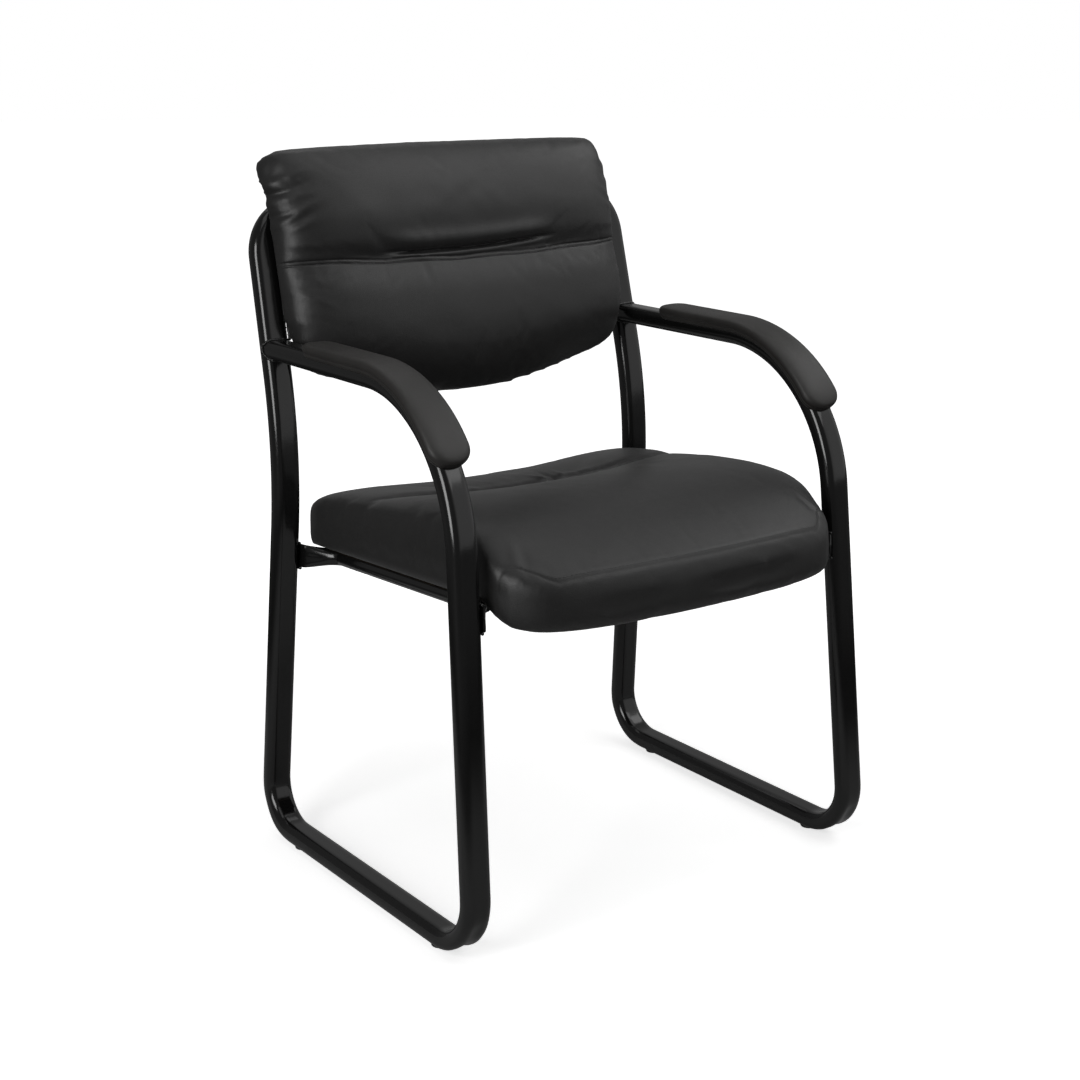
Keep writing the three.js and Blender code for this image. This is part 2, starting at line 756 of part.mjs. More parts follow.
// Fasteners

// A pan-head screw that points up its Z axis, with its head under the origin.
function screw(length) {
  const edge = screwHeadHeight / 3;
  return new THREE.LatheGeometry([
    new THREE.Vector2(0, -screwHeadHeight),
    new THREE.Vector2(screwHeadRadius - 2 * edge, -screwHeadHeight),
    new THREE.Vector2(screwHeadRadius, -screwHeadHeight + 2 * edge),
    new THREE.Vector2(screwHeadRadius, 0),
    new THREE.Vector2(screwRadius, 0),
    new THREE.Vector2(screwRadius, length - screwRadius / 2),
    new THREE.Vector2(screwRadius / 2, length),
    new THREE.Vector2(0, length),
  ], roundSides).rotateX(Math.PI / 2);
}

// A T-nut whose flange has its upper side at the origin, with its barrel pointing down.
function teeNut(barrelLength) {
  const body = solidOf(new THREE.LatheGeometry([
    new THREE.Vector2(0, -barrelLength),
    new THREE.Vector2(nutBarrelRadius, -barrelLength),
    new THREE.Vector2(nutBarrelRadius, -nutFlangeThick),
    new THREE.Vector2(nutFlangeRadius, -nutFlangeThick),
    new THREE.Vector2(nutFlangeRadius, 0),
    new THREE.Vector2(0, 0),
  ], roundSides).rotateX(Math.PI / 2));
  const bore = rod(screwRadius + nutBoreClearance, 4 * barrelLength, new THREE.Vector3(), zAxis);
  return geometryOf(body.subtract(bore));
}

// The back. Its frame: X across, Y up along the posts, Z forwards, origin at the kink between the posts.
const backGroup = new THREE.Group();
backGroup.position.set(0, kinkDepth, kinkHeight);
backGroup.rotation.x = Math.PI / 2 - backAngle * degree;
const backHeight = hoopRise + backOverHoop - backBottom;
const backHalfWidth = innerHalfWidth(kinkHeight + (backBottom + backHeight / 2) * Math.cos(backAngle * degree))
  + backOverPost;
const coverBack = tubeDeep / 2 + seatGap;
const boardBack = coverBack + backCoverThick + seatGap;

// Shares up the back: where, the front's reach, the rear's inset and the width. The back lies in front of the
// posts and covers their inner edges, and it is narrower between the arms.
const backStationShares = [
  [0, 0.3, 0.1, 0.84],
  [0.012, 0.42, 0.03, 0.9],
  [0.045, 0.62, 0, 0.937],
  [0.11, 0.84, 0, 0.957],
  [0.2, 0.97, 0, 0.972],
  [0.3, 1, 0, 0.985],
  [0.4, 0.97, 0, 0.984],
  [0.47, 0.88, 0, 0.984],
  [0.515, 0.76, 0, 0.984],
  [0.545, 0.6, 0, 0.984],
  [0.575, 0.75, 0, 0.984],
  [0.62, 0.9, 0, 0.984],
  [0.7, 1, 0, 0.984],
  [0.79, 0.99, 0, 0.984],
  [0.87, 0.92, 0, 0.984],
  [0.93, 0.81, 0, 0.984],
  [0.97, 0.66, 0, 0.97],
  [0.99, 0.5, 0.02, 0.94],
  [1, 0.34, 0.08, 0.89],
];
const backFrontPower = 0.82;
const backRearPower = 0.24;
const backSidePower = 0.46;
const backWaistShare = 0.07;
const backBowPower = 1.6;
const backBowEndShare = 0.5;
const backEarUpShares = [0.84, 0.95];
const backEarAcrossShares = [0.9, 0.97];

// How far a place at a share of the height and of the half width is above the back's lowest point.
function backRise(share, acrossShare) {
  const bowShare = 1 - THREE.MathUtils.smoothstep(share, 0, backBowEndShare);
  const crownShare = THREE.MathUtils.smoothstep(share, backBowEndShare, 1);
  return backHeight * share + backBow * bowShare * Math.abs(acrossShare) ** backBowPower
    - backCrown * crownShare * acrossShare ** 2;
}

// The puckered upper corners fold to the rear.
function backEarShare(share, acrossShare) {
  const upShare = THREE.MathUtils.smoothstep(share, ...backEarUpShares);
  return upShare * THREE.MathUtils.smoothstep(Math.abs(acrossShare), ...backEarAcrossShares);
}

function backRing([share, frontShare, rearShare, widthShare]) {
  const ring = [];
  const half = backHalfWidth * widthShare;
  const front = boardBack + backThick * frontShare;
  const rear = boardBack + backThick * rearShare;
  const waist = THREE.MathUtils.lerp(rear, front, backWaistShare);
  for (const angle of cushionAngles(backSidePower)) {
    const acrossShare = signedPower(Math.cos(angle), backSidePower);
    const forward = Math.sin(angle) > 0
      ? waist + (front - waist) * Math.sin(angle) ** backFrontPower
      : waist - (waist - rear) * (-Math.sin(angle)) ** backRearPower;
    const ear = backEar * backEarShare(share, widthShare * acrossShare);
    ring.push(new THREE.Vector3(
      half * acrossShare,
      backBottom + backRise(share, widthShare * acrossShare),
      forward - ear * (1 - THREE.MathUtils.smoothstep(forward, waist, front)),
    ));
  }
  return ring;
}

// The outline of the back's board and of its rear cover: the cushion's own outline, drawn in all round.
function backOutline(inset) {
  const edge = backStationShares.map(([share, , , widthShare]) => new THREE.Vector2(
    backHalfWidth * widthShare - inset,
    backBottom + backRise(share, widthShare) + inset * (1 - 2 * share),
  ));
  const foot = [];
  for (let i = 0; i < bowSteps; i++) {
    const widthShare = backStationShares[0][3] * i / bowSteps;
    foot.push(new THREE.Vector2(
      (backHalfWidth * backStationShares[0][3] - inset) * i / bowSteps,
      backBottom + backRise(0, widthShare) + inset,
    ));
  }
  const rightHalf = [...foot, ...edge];
  const leftHalf = rightHalf.slice(1).reverse().map(({ x, y }) => new THREE.Vector2(-x, y));
  return new THREE.Shape([...rightHalf, ...leftHalf]);
}

const backScrews = [strapRise, hoopRise].flatMap((rise) => backScrewSites.map((across) => (
  { across, rise, name: `${rise === hoopRise ? 'upper' : 'lower'}_${across < 0 ? 'left' : 'right'}` }
)));

function backBoard() {
  const cutters = backScrews.flatMap(({ across, rise }) => (
    nutSeat(new THREE.Vector3(across, rise, boardBack), boardBack + backBoardThick)
  ));
  return cut(plate(backOutline(backBoardInset), boardBack, boardBack + backBoardThick), cutters);
}

function backCushion() {
  const body = solidOf(skin(backStationShares.map(backRing), true));
  const rooms = [
    plate(backOutline(backBoardInset - seatGap), boardBack - overrun, boardBack + backBoardThick + seatGap),
    plate(backOutline(backCoverInset - seatGap), coverBack - backEar, boardBack),
  ];
  return cut(body, rooms);
}

function backRearCover() {
  const holes = backScrews.map(({ across, rise }) => (
    rod(screwRadius + screwHoleClearance, 4 * backCoverThick, new THREE.Vector3(across, rise, coverBack), zAxis)
  ));
  return cut(plate(backOutline(backCoverInset), coverBack, coverBack + backCoverThick), holes);
}

// The arm pads. They follow the arm's centre line from the rear end to the nose, over its upper side.
function armStations(inset) {
  const stations = [];
  const bendStart = armBendStart();
  const rear = padRearDepth - inset;
  for (let i = 0; i <= padRunSteps; i++) {
    stations.push(armStation(THREE.MathUtils.lerp(rear, bendStart, i / padRunSteps), 0));
  }
  const noseTurn = 90 - padNoseAngle - inset / armRadius / degree;
  for (let i = 1; i <= armSteps; i++) {
    stations.push(armStation(bendStart, noseTurn * i / armSteps));
  }
  return stations;
}

// A station on the arm: a depth on the straight run, or a turn in degrees round the bend.
function armStation(depth, turn) {
  const angle = turn * degree;
  return {
    point: sidePoint(depth - armRadius * Math.sin(angle), armHeight - armRadius * (1 - Math.cos(angle))),
    out: sideDirection(-Math.sin(angle), Math.cos(angle)),
    along: sideDirection(-Math.cos(angle), -Math.sin(angle)),
  };
}

// The pad's rings: its two ends round off over half its width.
function padRings() {
  const stations = armStations(padHalfWidth);
  const rings = [];
  const first = stations[0];
  const last = stations.at(-1);
  for (let i = 0; i < padEndSteps; i++) {
    rings.push(padEndRing(first, -1, i));
  }
  stations.forEach((station) => rings.push(padRing(station, 0, 1, 1)));
  for (let i = padEndSteps - 1; i >= 0; i--) {
    rings.push(padEndRing(last, 1, i));
  }
  return rings;
}

// How the ends round off in width and in height, from a blunt first ring.
const padEndFirstShare = 0.35;
const padEndPower = 0.8;
const padEndHeightPower = 0.55;

function padEndRing(station, sign, step) {
  const angle = Math.PI / 2 * (1 - (step + padEndFirstShare) / (padEndSteps + padEndFirstShare));
  const widthShare = Math.cos(angle) ** padEndPower;
  return padRing(station, sign * padHalfWidth * Math.sin(angle), widthShare, widthShare ** padEndHeightPower);
}

// How round the pad's section is, and where its widest place lies.
const padRoundPower = 0.62;
const padUnderPower = 0.5;
const padWaistShare = 0.2;

function padRing(station, shift, widthShare, heightShare) {
  const ring = [];
  const low = tubeDeep / 2 - padOverhang;
  const high = tubeDeep / 2 + padThick;
  const waist = tubeDeep / 2 + padThick * padWaistShare;
  for (let k = 0; k < padRingPoints; k++) {
    const angle = 2 * Math.PI * k / padRingPoints;
    const across = padHalfWidth * widthShare * signedPower(Math.cos(angle), padRoundPower);
    const up = Math.sin(angle) > 0
      ? waist + (high - waist) * heightShare * Math.sin(angle) ** padRoundPower
      : waist - (waist - low) * heightShare * (-Math.sin(angle)) ** padUnderPower;
    ring.push(station.point.clone()
      .addScaledVector(station.along, shift)
      .addScaledVector(station.out, up)
      .addScaledVector(sidePlaneNormal, across));
  }
  return ring;
}

// The moulded base inside the pad: a strip on top of the tube, with a boss over each screw. Grown, it is the
// room that the pad leaves it, down into the tube's own.
function padBase(grow) {
  const rings = armStations(padBaseInset).map((station, i, all) => {
    const low = grow > 0 ? 0 : tubeDeep / 2 + seatGap;
    const high = tubeDeep / 2 + seatGap + padBaseThick + grow;
    const half = padBaseHalfWidth + grow;
    const past = i === 0 ? -grow : (i === all.length - 1 ? grow : 0);
    return [[half, low], [half, high], [-half, high], [-half, low]].map(([across, up]) => station.point.clone()
      .addScaledVector(station.along, past)
      .addScaledVector(station.out, up)
      .addScaledVector(sidePlaneNormal, across));
  });
  const bosses = armScrewSites.map(({ point, out }) => {
    const from = tubeDeep / 2 + seatGap + padBaseThick / 2;
    const to = tubeDeep / 2 + seatGap + padBossHeight + padBaseThick + grow;
    return rod(padBossRadius + grow, to - from, point.clone().addScaledVector(out, (from + to) / 2), out);
  });
  return bosses.reduce((whole, boss) => whole.add(boss), solidOf(skin(rings)));
}

// The heads bear on the inside of the tube's upper wall, which is hollow in the bend.
const armBoreRadius = armRadius + tubeDeep / 2 - tubeWall;
const padScrewGap = seatGap + screwHeadRadius ** 2 / armBoreRadius / 2
  + armBoreRadius * (1 - Math.cos(Math.PI / 2 / armSteps / 2));
const padHeadPlace = tubeDeep / 2 - tubeWall - padScrewGap;
const padScrewLength = tubeDeep / 2 - padHeadPlace + padBaseThick + padBossHeight / 2;

function armPadBase() {
  const holes = armScrewSites.map(({ point, out }) => rod(
    screwRadius + nutBoreClearance, 2 * padBossHeight,
    point.clone().addScaledVector(out, tubeDeep / 2 + seatGap + padBaseThick + padBossHeight / 2 - padBossHeight),
    out,
  ));
  return cut(padBase(0), holes);
}

function armPad() {
  return cut(solidOf(skin(padRings())), [sideSweep(seatGap, false), padBase(seatGap)]);
}

// Assembly
const chair = new THREE.Group();

function addPiece(parent, name, geometry, material) {
  const piece = new THREE.Mesh(geometry, material);
  piece.name = name;
  parent.add(piece);
  return piece;
}

function addPair(parent, name, solid, material) {
  addPiece(parent, `left_${name}`, geometryOf(solid), material);
  addPiece(parent, `right_${name}`, geometryOf(mirrored(solid)), material);
}

function addFrame() {
  addPair(chair, 'side_tube', sideTube(), powderCoat);
  addPiece(chair, 'hoop_splice', geometryOf(hoopSplice()), powderCoat);
  const strap = addPiece(backGroup, 'back_strap', geometryOf(backStrap()), powderCoat);
  strap.position.y = strapRise;
  for (const side of [-1, 1]) {
    for (const depth of glideDepths) {
      const name = `${depth < 0 ? 'front' : 'rear'}_${side < 0 ? 'left' : 'right'}_glide`;
      const piece = addPiece(chair, name, geometryOf(glide()), blackPlastic);
      piece.position.set(-side * sideAt(0), depth, 0);
    }
  }
}

function addSeat() {
  addPair(seatGroup, 'seat_rail', seatRail(), powderCoat);
  addPiece(seatGroup, 'front_cross_bar', geometryOf(crossBar(-frontBarDepth)), powderCoat);
  addPiece(seatGroup, 'rear_cross_bar', geometryOf(crossBar(rearBarDepth)), powderCoat);
  addPiece(seatGroup, 'seat_board', geometryOf(seatBoard()), plywood);
  addPiece(seatGroup, 'seat_cushion', geometryOf(seatCushion()), leather);
  addPiece(seatGroup, 'seat_dust_cover', geometryOf(seatDustCover()), dustCloth);
  const boreReach = (railRadius - railWall) * Math.cos(Math.PI / railSides);
  const headPlace = railHeight + Math.sqrt(boreReach ** 2 - screwHeadRadius ** 2) - seatGap;
  for (const { across, depth, name } of seatScrewSites) {
    const bolt = addPiece(seatGroup, `seat_screw_${name}`, screw(seatBoardThick - nutFlangeThick - headPlace), blackScrew);
    bolt.position.set(across, depth, headPlace);
    const nut = addPiece(seatGroup, `seat_nut_${name}`, teeNut(seatBoardThick - nutFlangeThick), zincSteel);
    nut.position.set(across, depth, seatBoardThick - seatGap);
  }
  chair.add(seatGroup);
}

function addBack() {
  addPiece(backGroup, 'back_board', geometryOf(backBoard()), plywood);
  addPiece(backGroup, 'back_cushion', geometryOf(backCushion()), leather);
  addPiece(backGroup, 'back_rear_cover', geometryOf(backRearCover()), leather);
  for (const { across, rise, name } of backScrews) {
    const headPlace = (rise === hoopRise ? -tubeDeep / 2 : tubeDeep / 2 - strapThick) - seatGap;
    const boardFront = boardBack + backBoardThick;
    const bolt = addPiece(backGroup, `back_screw_${name}`, screw(boardFront - nutFlangeThick - headPlace), blackScrew);
    bolt.position.set(across, rise, headPlace);
    const nut = addPiece(backGroup, `back_nut_${name}`, teeNut(backBoardThick - nutFlangeThick), zincSteel);
    nut.position.set(across, rise, boardFront - seatGap);
  }
  chair.add(backGroup);
}

function addArmPads() {
  addPair(chair, 'arm_pad', armPad(), padSkin);
  addPair(chair, 'arm_pad_base', armPadBase(), blackPlastic);
  for (const side of [-1, 1]) {
    armScrewSites.forEach(({ point, out }, i) => {
      const name = `${i === 0 ? 'rear' : 'front'}_${side < 0 ? 'left' : 'right'}_pad_screw`;
      const bolt = addPiece(chair, name, screw(padScrewLength), blackScrew);
      bolt.position.copy(point).addScaledVector(out, padHeadPlace);
      bolt.position.x *= -side;
      bolt.quaternion.setFromUnitVectors(zAxis, new THREE.Vector3(-side * out.x, out.y, out.z));
    });
  }
}

addFrame();
addSeat();
addBack();
addArmPads();

// The origin: on the floor, under the middle of the chair's box.
chair.updateMatrixWorld(true);
const box = new THREE.Box3().setFromObject(chair, true);
chair.position.set(0, -(box.min.y + box.max.y) / 2, -box.min.z);
chair.updateMatrixWorld(true);

export default chair;
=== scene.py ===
import json
import math
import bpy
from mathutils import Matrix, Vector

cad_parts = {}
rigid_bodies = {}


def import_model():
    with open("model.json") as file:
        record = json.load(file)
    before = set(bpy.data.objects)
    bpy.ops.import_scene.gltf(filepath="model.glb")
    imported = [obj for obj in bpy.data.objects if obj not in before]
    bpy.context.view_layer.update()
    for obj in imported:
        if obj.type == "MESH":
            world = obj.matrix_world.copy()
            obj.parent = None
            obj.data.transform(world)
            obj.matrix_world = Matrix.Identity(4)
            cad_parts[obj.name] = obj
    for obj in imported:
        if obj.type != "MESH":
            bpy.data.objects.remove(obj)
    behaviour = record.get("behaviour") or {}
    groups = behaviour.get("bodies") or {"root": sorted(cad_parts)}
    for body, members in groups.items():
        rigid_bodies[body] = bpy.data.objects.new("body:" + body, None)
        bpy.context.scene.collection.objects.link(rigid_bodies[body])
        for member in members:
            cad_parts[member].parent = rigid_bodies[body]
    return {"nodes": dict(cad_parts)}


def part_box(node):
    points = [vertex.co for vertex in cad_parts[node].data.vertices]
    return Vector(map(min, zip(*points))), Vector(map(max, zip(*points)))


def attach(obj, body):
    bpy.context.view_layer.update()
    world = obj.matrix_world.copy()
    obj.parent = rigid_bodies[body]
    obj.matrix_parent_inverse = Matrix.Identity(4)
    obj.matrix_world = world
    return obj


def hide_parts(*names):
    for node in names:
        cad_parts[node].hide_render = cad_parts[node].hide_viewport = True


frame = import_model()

import types

import bmesh
import bpy
import numpy as np
from mathutils import Matrix, Vector

bl_info = {
    "name": "Sled base visitor chair looks",
    "version": (1, 0, 0),
    "blender": (4, 5, 0),
    "location": "3D View > Sidebar > Chair",
    "description": "Builds the pieces of a sled base visitor chair that are seen, round its fixed frame",
    "category": "Object",
}

MILLI = 0.001
SIDES = {"left": -1, "right": 1}
SEED = 11


# Sizes


def length(name, millimetres, description):
    """A length in metres, given in millimetres."""
    return bpy.props.FloatProperty(
        name=name, default=millimetres * MILLI, description=description, unit="LENGTH", subtype="DISTANCE"
    )


def angle(name, degrees, description):
    """An angle in radians, given in degrees."""
    return bpy.props.FloatProperty(
        name=name, default=math.radians(degrees), description=description, unit="ROTATION", subtype="ANGLE"
    )


def share(name, value, description):
    """A plain factor."""
    return bpy.props.FloatProperty(name=name, default=value, description=description, subtype="FACTOR")


def grey(value, tint=0.0):
    """A linear grey, warmer with more tint."""
    return (value * (1 + tint), value, value * (1 - tint), 1.0)


def shade(name, value, tint, description):
    """A grey finish as a colour."""
    return bpy.props.FloatVectorProperty(
        name=name, default=grey(value, tint), description=description, size=4, subtype="COLOR", min=0, max=1
    )


class ChairFrame(bpy.types.PropertyGroup):
    """The side frames, rails, bars and strap."""

    tube_wide: length("Tube width", 35.5, "Width of the flat-oval tube, across the side frame")
    tube_deep: length("Tube depth", 24.3, "Depth of the flat-oval tube, in the side frame's plane")
    tube_corner: length("Tube corner", 10.3, "Radius of the tube section's corners")
    tube_wall: length("Tube wall", 1.5, "Thickness of the tube's wall")
    half_width: length("Half width", 293.4, "From the middle of the chair to the middle of a runner")
    lean: share("Lean", 0.028, "How far a side frame leans inwards over its height")
    runner_half: length("Half runner", 244.3, "From the middle of the runner to its corners")
    front_foot_radius: length("Front foot radius", 63.6, "Bend radius at the front foot")
    rear_foot_radius: length("Rear foot radius", 58.8, "Bend radius at the rear foot")
    arm_height: length("Arm height", 644.9, "Height of the arm's centre line")
    arm_corner: length("Arm corner", 185.3, "Depth of the corner between arm and front leg")
    arm_radius: length("Arm radius", 187, "Bend radius between arm and front leg")
    kink_height: length("Kink height", 514.7, "Height at which the rear post leans back")
    kink_depth: length("Kink depth", 199.7, "Depth of the rear post at the kink")
    kink_radius: length("Kink radius", 622, "Bend radius at the kink")
    back_angle: angle("Back angle", 13.7, "Lean of the upper posts")
    hoop_rise: length("Hoop rise", 304, "From the kink to the hoop, along the posts")
    hoop_radius: length("Hoop radius", 58, "Bend radius at the hoop's corners")
    weld_gap: length("Weld gap", 0.3, "Gap between welded pieces")
    foot_dent: length("Foot dent", 5.2, "How deep the inner wall is crushed at the foot bends")
    rail_radius: length("Rail radius", 11, "Outer radius of the seat rails and cross bars")
    rail_wall: length("Rail wall", 1.6, "Thickness of the rails' wall")
    rail_inset: length("Rail inset", 36.5, "From the post's inner face to the middle of the rail")
    rail_flange: length("Rail flange", 21, "Length of the rail's flattened end")
    rail_joggle: length("Rail joggle", 48, "Length over which the rail turns from flat to round")
    rail_flat: length("Rail flat", 4.4, "Thickness of the flattened end")
    front_bar: length("Front bar", 152, "Depth of the front cross bar")
    rear_bar: length("Rear bar", 128, "Depth of the rear cross bar")
    strap_height: length("Strap height", 30, "Height of the strap behind the back")
    strap_thick: length("Strap thickness", 4, "Thickness of the strap")
    strap_rise: length("Strap rise", 158, "From the kink to the strap, along the posts")
    glide_radius: length("Glide radius", 11, "Radius of a glide")
    glide_height: length("Glide height", 4, "Height of a glide under the runner")
    glide_stem: length("Glide stem", 4, "Radius of a glide's stem")
    glide_inset: length("Glide inset", 78, "From the runner's corner to the glide")
    bead: length("Weld bead", 2.1, "Radius of a weld bead")
    bead_pitch: length("Weld pitch", 1.5, "Distance between the ripples of a weld")


class ChairCushions(bpy.types.PropertyGroup):
    """The upholstered seat and back."""

    seat_height: length("Seat height", 403.7, "Height of the seat board's underside")
    seat_tilt: angle("Seat tilt", 3.12, "How far the seat falls to the rear")
    seat_front: length("Seat front", 291, "From the seat's origin to its front")
    seat_rear: length("Seat rear", 220, "From the seat's origin to its rear")
    seat_thick: length("Seat thickness", 87, "Thickness of the seat with its board")
    seat_gap: length("Seat gap", 14.5, "Gap between the seat and the posts")
    seat_full: length("Seat fullness", 2, "How far the seat's sides are filled out past their plain shape")
    seat_bow: length("Seat bow", 34, "How far the seat's front is bowed")
    board_thick: length("Seat board", 12, "Thickness of the seat board")
    board_inset: length("Board inset", 9, "From the seat's side to the board")
    board_front: length("Board front inset", 26, "From the seat's front to the board")
    board_corner: length("Board corner", 45, "Corner radius of the seat board")
    board_curl: length("Board curl", 48, "Radius of the board's curl")
    board_turn: angle("Board turn", 60, "How far the board's front curls down")
    cover_thick: length("Dust cover", 0.8, "Thickness of the dust cover")
    cover_inset: length("Dust cover inset", 4, "From the board's edge to the dust cover's")
    cover_front: length("Dust cover front", 30, "From the board's curl to the dust cover's edge")
    screw_front: length("Front seat screws", 112, "Depth of the front seat screws")
    screw_rear: length("Rear seat screws", 88, "Depth of the rear seat screws")
    back_bottom: length("Back bottom", 50, "From the kink to the back's lowest point")
    back_over: length("Back over the hoop", 75, "From the hoop to the back's top")
    back_thick: length("Back thickness", 62, "Thickness of the back's padding")
    back_over_post: length("Back over posts", 9, "How far the back reaches over the posts' inner faces")
    back_bow: length("Back bow", 55, "How far the back's lower edge is bowed")
    back_crown: length("Back crown", 3, "How far the back's top edge is bowed")
    back_ear: length("Back ear", 14, "How far the upper corners fold to the rear")
    back_shift: length("Back shift", -6.2, "How far the back's cover sits off centre")
    back_lobe: length("Back lobe", 4.5, "How far the upper left corner bulges out and back")
    back_board: length("Back board", 10, "Thickness of the back's board")
    back_board_inset: length("Back board inset", 10, "From the back's edge to its board")
    back_cover: length("Rear cover", 3, "Thickness of the rear cover")
    back_cover_inset: length("Rear cover inset", 7, "From the back's edge to the rear cover")
    back_screws: length("Back screws", 118, "From the middle to the back's screws")
    gap: length("Gap", 0.3, "Gap between pieces that touch")
    seat_voxel: length("Seat voxel", 6, "Size of the seat's remeshed faces before the last subdivision")
    back_voxel: length("Back voxel", 5, "Size of the back's remeshed faces before the last subdivision")
    shrink: length("Shrink", 2.5, "How much smaller a cushion is before it is blown up")
    swell: share("Swell", 0.25, "How much of the slow part of the swelling is kept")
    wrinkle: share("Wrinkle", 0.45, "How much of the quick part of the swelling is kept")
    swell_cap: length("Swell cap", 8, "How far a point may move while the cushion is blown up")
    pressure: share("Pressure", 4, "Pressure inside a cushion")
    stitch_pitch: length("Stitch pitch", 5, "Distance between stitches")
    stitch_long: length("Stitch length", 3.9, "Length of a stitch that shows")
    stitch_thick: length("Stitch thickness", 0.75, "Thickness of the thread")


class ChairPads(bpy.types.PropertyGroup):
    """The arm pads."""

    half_width: length("Half width", 24, "Half the width of a pad")
    thick: length("Thickness", 12, "Thickness of a pad over the tube")
    overhang: length("Overhang", 9.5, "How far a pad reaches down beside the tube")
    flare: share("Flare", 0.15, "How much wider a pad is at its nose")
    swell: share("Swell", 0.12, "How much thicker a pad is at its nose")
    rear: length("Rear end", 132, "Depth of a pad's rear end")
    nose: angle("Nose angle", 33.5, "Where the nose ends on the bend, above the horizontal")
    screw_depth: length("Rear screw", 86, "Depth of the rear pad screw")
    screw_angle: angle("Front screw", 56, "Where the front pad screw sits on the bend")
    screw_radius: length("Screw radius", 2.8, "Radius of the screws' threads")
    head_radius: length("Head radius", 6.2, "Radius of the screws' heads")
    head_height: length("Head height", 3.6, "Height of the screws' heads")
    hole_clearance: length("Hole clearance", 0.5, "Gap between a screw and its hole")
    access_clearance: length("Access clearance", 1, "Gap between a head and the hole that lets it in")
    base_thick: length("Base thickness", 3, "Thickness of the moulded base inside a pad")
    boss_height: length("Boss height", 5, "Height of a boss on the base")
    staple_pitch: length("Staple pitch", 34, "Distance between staples")


class ChairFinishes(bpy.types.PropertyGroup):
    """The colours of the finishes that show."""

    leather: shade("Leather", 0.0155, 0.015, "Colour of the leather")
    leather_patch: shade("Leather patches", 0.018, 0.01, "Colour of the leather's paler patches")
    leather_valley: shade("Leather valleys", 0.009, 0, "Colour between the pebbles of the grain")
    coat: shade("Powder coat", 0.006, 0, "Colour of the tubes")
    coat_scuff: shade("Tube scuffs", 0.045, 0.03, "Colour of the tubes' scuffs and dust")
    pad: shade("Pads", 0.021, 0.06, "Colour of the arm pads")
    pad_patch: shade("Pad patches", 0.026, 0.06, "Colour of the arm pads' paler patches")
    plastic: shade("Plastic", 0.012, 0, "Colour of the glides and the rear cover")
    plastic_scuff: shade("Plastic scuffs", 0.07, 0.05, "Colour of the plastic's scuffs")
    cloth: shade("Cloth", 0.008, 0, "Colour of the dust cover")
    cloth_fibre: shade("Cloth fibres", 0.024, 0, "Colour of the dust cover's paler fibres")
    thread: shade("Thread", 0.012, 0, "Colour of the stitches")
    thread_twist: shade("Thread twist", 0.03, 0, "Colour of the thread's paler strand")


class ChairStage(bpy.types.PropertyGroup):
    """The camera, lights and floor."""

    azimuth: angle("Azimuth", -35.464, "Direction of the camera round the chair")
    elevation: angle("Elevation", 15.277, "Height angle of the camera")
    distance: length("Distance", 2379.5, "From the camera to its aim")
    lens: bpy.props.FloatProperty(
        name="Lens", default=62.79, description="Focal length", subtype="DISTANCE_CAMERA",
    )
    aim_across: length("Aim across", -29.56, "Across place of the camera's aim")
    aim_depth: length("Aim depth", 4.93, "Depth of the camera's aim")
    aim_height: length("Aim height", 412.16, "Height of the camera's aim")
    floor_bounce: share("Floor bounce", 0.5, "Colour of the lit floor for the light that it sends up")
    floor_dark: share("Far floor bounce", 0.04, "Colour of the far floor for the light that it sends up")
    lit_near: length("Lit floor", 700, "From the middle of the chair to where the lit floor gets darker")
    lit_far: length("Far floor", 1300, "From the middle of the chair to where the far floor starts")
    floor_glow: share("Floor glow", 0.68, "How much brighter the floor is shown close to the chair")
    floor_near: length("Floor near", 300, "Where the shown floor starts to get whiter")
    floor_far: length("Floor far", 1500, "Where the floor is shown as white as the surroundings")
    ambient: share("Ambient", 0.1, "Strength of the surroundings' light")
    mirrored_floor: share("Mirrored floor", 0.1, "Strength of the far floor in reflections")
    mirrored_left: share("Mirrored left", 0.12, "Strength of the left in reflections")
    mirrored_front: share("Mirrored front", 0.6, "Strength of the right front in reflections")
    mirrored_rear: share("Mirrored rear", 0.25, "Strength of the right rear in reflections")
    top_power: share("Top box", 11, "Power of the soft box over the chair, in watts")
    front_power: share("Front box", 9, "Power of the soft box in front, in watts")
    left_power: share("Left box", 38, "Power of the soft box at the left, in watts")
    right_power: share("Right box", 8, "Power of the soft box at the right, in watts")
    rear_box_power: share("Rear box", 4, "Power of the soft box above and behind, in watts")


GROUPS = {
    "chair_frame": ChairFrame, "chair_cushions": ChairCushions, "chair_pads": ChairPads,
    "chair_finishes": ChairFinishes, "chair_stage": ChairStage,
}


def sizes(name):
    """The values of one group of sizes."""
    group = getattr(bpy.context.scene, name)
    return types.SimpleNamespace(**{key: getattr(group, key) for key in GROUPS[name].__annotations__})


# Numbers


def unit(vectors):
    """Vectors of length one."""
    vectors = np.asarray(vectors, float)
    return vectors / np.linalg.norm(vectors, axis=-1, keepdims=True)


def smoothstep(value, low, high):
    """A smooth step from 0 at low to 1 at high."""
    t = np.clip((np.asarray(value, float) - low) / (high - low), 0, 1)
    return t * t * (3 - 2 * t)


def circle(points):
    """Angles evenly round a circle."""
    return np.arange(points) / points * 2 * math.pi


def lerp(low, high, t):
    """A value between two."""
    return low + (high - low) * t


def bell(distance, width):
    """A bump of height one round distance zero."""
    return np.exp(-((np.asarray(distance, float) / width) ** 2))


def signed_power(value, power):
    """A power that keeps its number's sign."""
    return np.sign(value) * np.abs(value) ** power


